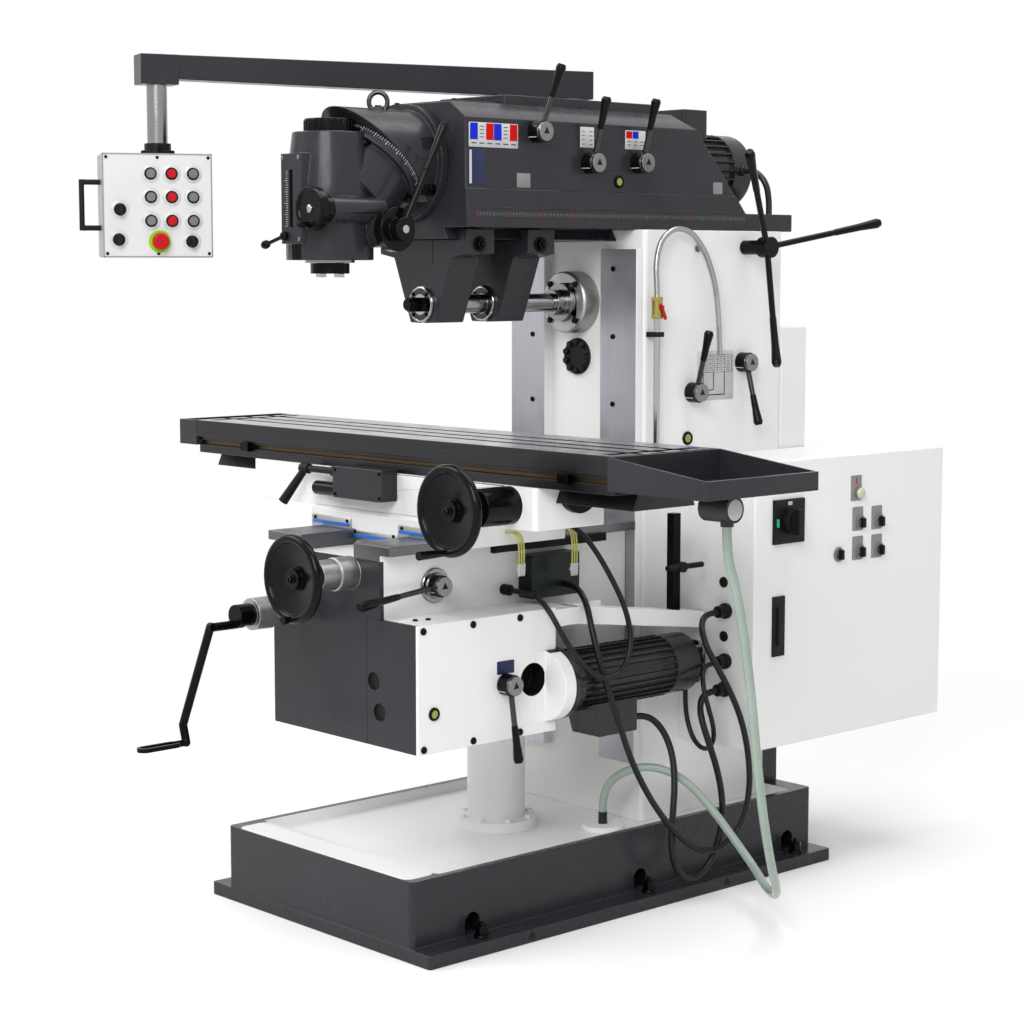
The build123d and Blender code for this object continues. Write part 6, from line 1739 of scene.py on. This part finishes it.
@dataclass
class Knee(Dress):
    """Knee with its ways, front cover, dials, gearbox, feed motor and clamp."""

    body: str = "knee"
    slot: str = "dark_metal"
    gearbox_side: float = 319.0
    gearbox_top: float = 739.0
    adapter_cut: Box = ((319.1, -281, 474.5), (396, -250, 645.5))
    ways: Box = ((-226, -640, 881), (226, 142, 906))
    switch_box: Box = ((191, -216, 747), (237, -59, 851))
    gland: Box = ((191, -276, 758), (215, -248, 786))
    trip_bar: Box = ((224.1, -335, 865), (237, 31, 887))
    stop_post: Box = ((287, 183, 690), (313, 209, 926))
    window: Box = ((255, -327, 541), (318.5, -249, 619))
    lid_screws: Box = ((319.2, -640, 430), (332, -205, 745))
    cross_dial_box: Box = ((46, -735, 796), (124, -631.5, 874))
    lift_dial_box: Box = ((-157, -705, 701), (-103, -631.5, 755))
    cover_hole_shade: Box = ((140, -630.5, 500), (216, -560, 635))
    motor_end: Box = ((220, 214.5, 470), (390, 260, 650))
    plate_at: Pair = (-373.0, 619.0)
    sight_at: Pair = (-586.0, 540.0)
    top_screws: tuple[Pair, ...] = ((252, -582), (261, -552))
    feed_lever_hub: Seat = Seat((190, -474, 802))
    cross_dial: Seat = Seat((85, -684, 835), Side.FRONT.value)
    dial_r: float = 34.9

    def build(self) -> None:
        """Paints the castings and fits plates, glasses and scales."""
        Casting("knee_casting", Finishes.WHITE, 1.6, (
            Patch(Finishes.WAY_STEEL, *self.ways),
        )).build()
        Casting("feed_gearbox", Finishes.WHITE, 1.4, (
            Patch(Finishes.BOX_GREEN, *self.switch_box),
            Patch(Finishes.MATT_BLACK, *self.gland),
            Patch(Finishes.OXIDE, *self.trip_bar),
            Patch(Finishes.OXIDE, *self.stop_post),
            # Matt black on the walls of the opening in the gearbox's side: painted shade inside the opening.
            Patch(Finishes.MATT_BLACK, *self.window),
            Patch(Finishes.OXIDE, *self.lid_screws),
        ), trim=self.adapter_cut).build()
        Casting("knee_front_cover", Finishes.CHARCOAL, 1.2, (
            Patch(Finishes.SATIN_STEEL, *self.cross_dial_box),
            Patch(Finishes.SATIN_STEEL, *self.lift_dial_box),
            # Matt black on the walls of the holes in the cover: painted shade inside the holes.
            Patch(Finishes.MATT_BLACK, *self.cover_hole_shade),
        )).build()
        Casting("feed_motor", Finishes.MOTOR_BLACK, 0.8, (
            Patch(Finishes.TURNED_STEEL, *self.motor_end),
        )).build()
        Casting("elevating_screw", Finishes.TURNED_STEEL, 0.8).build()
        Casting("knee_clamp", Finishes.MATT_BLACK, 0.8).build()
        self.gearbox()
        self.dial()

    def gearbox(self) -> None:
        """Plate, oil window and screws of the feed gearbox."""
        plate = Seat((self.gearbox_side, *self.plate_at))
        self.plate("gearbox_plate", plate, (52, 30), Finishes.LABEL_DUSK)
        self.sight_glass("gearbox_sight_glass", Seat((self.gearbox_side, *self.sight_at)), 15)
        tops = [Seat((*at, self.gearbox_top), Side.UP.value) for at in self.top_screws]
        self.fit("gearbox_top_screws", cap_screw(6, 4), Finishes.OXIDE, tops)
        collar = turned(((0, 40), (5, 40), (7, 38), (7, 30), (11, 27.5)), 40)
        self.fit("feed_lever_flange", collar, Finishes.TURNED_STEEL, [self.feed_lever_hub], "polished_steel")

    def dial(self) -> None:
        """Graduation of the cross feed dial."""
        seat = self.cross_dial
        short = rim_places(seat, self.dial_r, 4, [turn * 7.2 for turn in range(50) if turn % 5])
        self.fit("cross_dial_strokes", slab(0.8, 6, 0.4, 0, 0.1), Finishes.MATT_BLACK, short, "black_plastic")
        long = rim_places(seat, self.dial_r, 6, range(0, 360, 36))
        self.fit("cross_dial_decades", slab(1.1, 10, 0.4, 0, 0.1), Finishes.MATT_BLACK, long, "black_plastic")


@dataclass
class Saddle(Dress):
    """Saddle with its wipers, and the swivelling table carrier."""

    body: str = "saddle_slide"
    slot: str = "polished_steel"
    front: float = -470.0
    wipers: tuple[tuple[str, float, float, float, float], ...] = (
        ("left", -262, -112, 897, 928), ("middle", -110, 60, 878, 903), ("right", 62, 212, 897, 928),
    )
    trip_box_body: Box = ((-137, -509, 979), (49, -462.5, 1056))
    lock_boss: Box = ((-227, -502, 977), (-129, -466, 1013))
    traverse_boss: Box = ((387, -561, 959), (473, -463, 1045))
    carrier_end: Box = ((512.2, -470, 940), (540, -180, 1050))
    trip_box: Seat = Seat((-44, -508, 1017), Side.FRONT.value)
    pipe_bundles: tuple[tuple[str, float, float], ...] = (("front", -296.0, 826.0), ("rear", -128.0, 812.0))
    pipe_pitch: float = 7.5

    def build(self) -> None:
        """Paints the castings and fits the wipers, the oil pipes and the trip box's cover screws."""
        Casting("saddle", Finishes.WHITE, 1.2).build()
        Casting("swivel_base", Finishes.WHITE, 1.6, (
            Patch(Finishes.CHARCOAL, *self.trip_box_body),
            Patch(Finishes.GLOSS_BLACK, *self.lock_boss),
            Patch(Finishes.GLOSS_BLACK, *self.traverse_boss),
            Patch(Finishes.OXIDE, *self.carrier_end),
        )).build()
        Casting("lock_lever", Finishes.MATT_BLACK, 0.8).build()
        for name, low, high, bottom, top in self.wipers:
            seat = Seat(((low + high) / 2, self.front, (bottom + top) / 2), Side.FRONT.value)
            holder = slab(high - low, top - bottom, 3, 3, 0.6)
            self.fit(f"{name}_wiper_holder", holder, Finishes.SATIN_STEEL, [seat])
            strip = slab(high - low - 12, 8, 3.2, 2, 0.8)
            self.fit(f"{name}_wiper", strip, Finishes.BLUE_WIPER, [seat.lifted(2.8)], "black_plastic")
            screws = [seat.moved(side * ((high - low) / 2 - 14), 9, 3) for side in (-1, 1)]
            self.fit(f"{name}_wiper_screws", cap_screw(4, 2.4), Finishes.OXIDE, screws, "dark_metal")
        self.oil_pipes()
        screws = [self.trip_box.moved(x, z) for x in (-82, 82) for z in (-28, 28)]
        self.fit("trip_box_screws", cap_screw(4, 2.4), Finishes.OXIDE, screws, "dark_metal", "turntable")

    def oil_pipes(self) -> None:
        """Two bundles of thin oil pipes that leave the saddle's side and end in their couplings."""
        for name, middle, low in self.pipe_bundles:
            pipes = []
            ends = []
            for step in (-1, 0, 1):
                y = middle + self.pipe_pitch * step
                route = in_metres((
                    (264, y - 22, 914), (276, y - 22, 917), (286, y - 18, 918), (291, y - 8, 908),
                    (291, y - 2, 884), (289, y, low + 26), (288, y, low + 12),
                ))
                pipes.append(as_mesh(laid_curve(f"{name}_pipe", Run.SMOOTH, route, 2.2, 3)))
                ends.append(Seat((288, y, low), Side.UP.value))
            self.fit(f"{name}_oil_pipes", joined(pipes), Finishes.LUBE_TUBE, (), "hose_plastic", crease=60)
            coupling = turned(
                ((-10, 2.6), (-6, 2.6), (-5, 3.6), (12, 3.6), (13, 4.2), (18, 4.2), (19, 3)), 14
            )
            self.fit(f"{name}_oil_couplings", coupling, Finishes.PALE_PLASTIC, ends, "white_paint")
            clip = slab(26, 7, 3, 1.5, 0.6)
            hold = Seat((285, middle, low + 6))
            self.fit(f"{name}_pipe_clip", clip, Finishes.PALE_PLASTIC, [hold], "white_paint")


@dataclass
class Table(Dress):
    """Table with its ground top, front scale, dogs and coolant trays."""

    body: str = "table_slide"
    slot: str = "dark_metal"
    top_face: Box = ((-757, -465, 1127), (745, -143, 1129))
    left_dog: Box = ((-563, -469, 1059), (-527, -454.5, 1083))
    right_dog: Box = ((582, -469, 1059), (618, -454.5, 1083))
    screw_end: Box = ((-800, -400, 960), (-700, -200, 1044.5))
    scale: Seat = Seat((-6, -445, 1071.5), Side.FRONT.value)
    scale_size: Pair = (1480.0, 8.5)
    spout: Seat = Seat((943, -304, 1021))

    def build(self) -> None:
        """Paints the castings and fits the front scale and the spout's disc."""
        Casting("table", Finishes.TABLE_EDGE, 1.0, (
            Patch(Finishes.TABLE_STEEL, *self.top_face, Side.UP.value),
            Patch(Finishes.OXIDE, *self.left_dog),
            Patch(Finishes.OXIDE, *self.right_dog),
            Patch(Finishes.OXIDE, *self.screw_end),
        )).build()
        Casting("table_trays", Finishes.CHARCOAL, 0, flat_limit=0).build()
        strip = slab(*self.scale_size, 0.8, 0, 0.2)
        self.fit("table_scale_strip", strip, Finishes.SCALE_BRASS, [self.scale])
        disc = turned(((0, 22), (1.2, 22), (2, 20.5)), 40)
        self.fit("spout_disc", disc, Finishes.LABEL_WHITE, [self.spout], "white_paint")


@dataclass
class Handwheels(Dress):
    """Cross, lift and traverse hand drives."""

    body: str = "saddle_handwheel_body"
    slot: str = "polished_steel"
    crank_dial: Box = ((-170, -753, 688), (-90, -699, 768))
    cross: Triple = (85.0, -796.0, 835.0)
    traverse: Triple = (430.0, -640.0, 1002.0)

    def build(self) -> None:
        """Paints the wheels and the crank and fits hub nuts."""
        Casting("saddle_handwheel", Finishes.GLOSS_BLACK, 0.8).build()
        Casting("table_handwheel", Finishes.GLOSS_BLACK, 0.8).build()
        Casting("knee_crank", Finishes.OXIDE, 0.8, (
            Patch(Finishes.SATIN_STEEL, *self.crank_dial),
        )).build()
        for name, spot in (("saddle", self.cross), ("table", self.traverse)):
            seat = Seat(spot, Side.FRONT.value)
            body = f"{name}_handwheel_body"
            self.fit(f"{name}_wheel_nut", hex_nut(9, 12), Finishes.GLOSS_BLACK, [seat], "black_gloss", body)


def seen_rays(tree: bpy.types.NodeTree) -> Socket:
    """Tells the rays that show a surface from those that light the machine.

    Args:
        tree: Node tree that takes the nodes.

    Returns:
        Socket that is 1 for what the camera sees straight, in a mirror or through glass, and 0 for light.
    """
    rays = tree.nodes.new("ShaderNodeLightPath")
    total = rays.outputs["Is Camera Ray"]
    for name in ("Is Glossy Ray", "Is Transmission Ray"):
        add = tree.nodes.new("ShaderNodeMath")
        add.operation = "MAXIMUM"
        tree.links.new(total, add.inputs[0])
        tree.links.new(rays.outputs[name], add.inputs[1])
        total = add.outputs[0]
    return total


@dataclass(frozen=True)
class Lamp:
    """Soft square lamp with its place and aim in metres, its power in watts and its side in metres."""

    name: str
    spot: Triple
    aim: Triple
    power: float
    size: float

    def hang(self) -> None:
        """Hangs the lamp and turns it to its aim."""
        data = bpy.data.lights.new(self.name, "AREA")
        data.energy = self.power
        data.size = self.size
        lamp = bpy.data.objects.new(self.name, data)
        bpy.context.scene.collection.objects.link(lamp)
        lamp.location = self.spot
        lamp.rotation_euler = (Vector(self.aim) - Vector(self.spot)).to_track_quat("-Z", "Y").to_euler()


@dataclass
class Studio:
    """Floor, lamps, surround and camera, in metres."""

    eye: Triple = (3.99537, -3.72069, 1.52118)
    azimuth: float = 47.51
    pitch: float = 6.31
    lens: float = 78.5
    sensor: float = 36.0
    far: float = 100.0
    floor_size: float = 60.0
    floor_shades: tuple[Triple, Triple] = ((0.93, 0.93, 0.93), (0.95, 0.95, 0.95))
    glow_reach: Pair = (1.3, 3.4)
    surround_light: float = 0.45
    lamps: tuple[Lamp, ...] = (
        Lamp("key_lamp", (3.4, -4.6, 4.2), (0, 0, 1.0), 260, 3.0),
        Lamp("fill_lamp", (-3.4, -3.2, 4.9), (0, 0, 1.0), 170, 3.5),
        Lamp("top_lamp", (0.6, 0.6, 5.6), (0, 0, 0.8), 160, 4.0),
    )

    def build(self) -> None:
        """Sets the stage."""
        self.floor()
        self.surround()
        for lamp in self.lamps:
            lamp.hang()
        self.camera()
        bpy.context.scene.view_settings.view_transform = "Standard"

    def floor(self) -> None:
        """Pale floor that keeps the machine's shadow."""
        deselect()
        bpy.ops.mesh.primitive_plane_add(size=self.floor_size, location=(0, 0, 0))
        floor = bpy.context.active_object
        floor.name = "studio_floor"
        bench = Bench("pale_floor")
        bench.settings(Roughness=0.9)
        bench.colour(bench.span(bench.noise(0.8), 0.0, 1.0), self.floor_shades)
        reach = bench.node("ShaderNodeVectorMath")
        reach.operation = "LENGTH"
        bench.join(bench.place, reach.inputs[0])
        share = bench.node("ShaderNodeMath")
        share.operation = "MULTIPLY"
        bench.join(bench.span(reach.outputs["Value"], 0.0, 1.0, *self.glow_reach), share.inputs[0])
        bench.join(seen_rays(bench.tree), share.inputs[1])
        glow = bench.node("ShaderNodeEmission")
        mix = bench.node("ShaderNodeMixShader")
        bench.join(share.outputs[0], mix.inputs[0])
        bench.join(bench.shader.outputs["BSDF"], mix.inputs[1])
        bench.join(glow.outputs[0], mix.inputs[2])
        bench.join(mix.outputs[0], bench.out.inputs["Surface"])
        floor.data.materials.append(bench.material)

    def surround(self) -> None:
        """White surround that lights the machine softly."""
        world = bpy.data.worlds.new("studio_world")
        world.use_nodes = True
        tree = world.node_tree
        light = tree.nodes["Background"]
        light.inputs["Color"].default_value = (1, 1, 1, 1)
        light.inputs["Strength"].default_value = self.surround_light
        bright = tree.nodes.new("ShaderNodeBackground")
        bright.inputs["Color"].default_value = (1, 1, 1, 1)
        bright.inputs["Strength"].default_value = 1.0
        mix = tree.nodes.new("ShaderNodeMixShader")
        tree.links.new(seen_rays(tree), mix.inputs[0])
        tree.links.new(light.outputs[0], mix.inputs[1])
        tree.links.new(bright.outputs[0], mix.inputs[2])
        tree.links.new(mix.outputs[0], tree.nodes["World Output"].inputs["Surface"])
        bpy.context.scene.world = world

    def camera(self) -> None:
        """Camera at the photograph's angle."""
        data = bpy.data.cameras.new("camera")
        data.lens = self.lens
        data.sensor_width = self.sensor
        data.sensor_fit = "HORIZONTAL"
        data.clip_end = self.far
        camera = bpy.data.objects.new("camera", data)
        bpy.context.scene.collection.objects.link(camera)
        camera.location = self.eye
        camera.rotation_euler = (math.radians(90 - self.pitch), 0, math.radians(self.azimuth))
        bpy.context.scene.camera = camera


def main() -> None:
    """Builds the machine's dress in order."""
    logging.basicConfig(level=logging.INFO, format="%(name)s %(message)s")
    Studio().build()
    Wiring().build()
    for assembly in (
        Base(), Column(), Cabinet(), CoolantLine(), Ram(), Levers(), ArborSupports(), SwivelHead(), Pendant(),
        Knee(), Saddle(), Table(), Handwheels(),
    ):
        assembly.build()
        LOG.info("%s done", type(assembly).__name__)
    deselect()


if __name__ == "__main__":
    main()
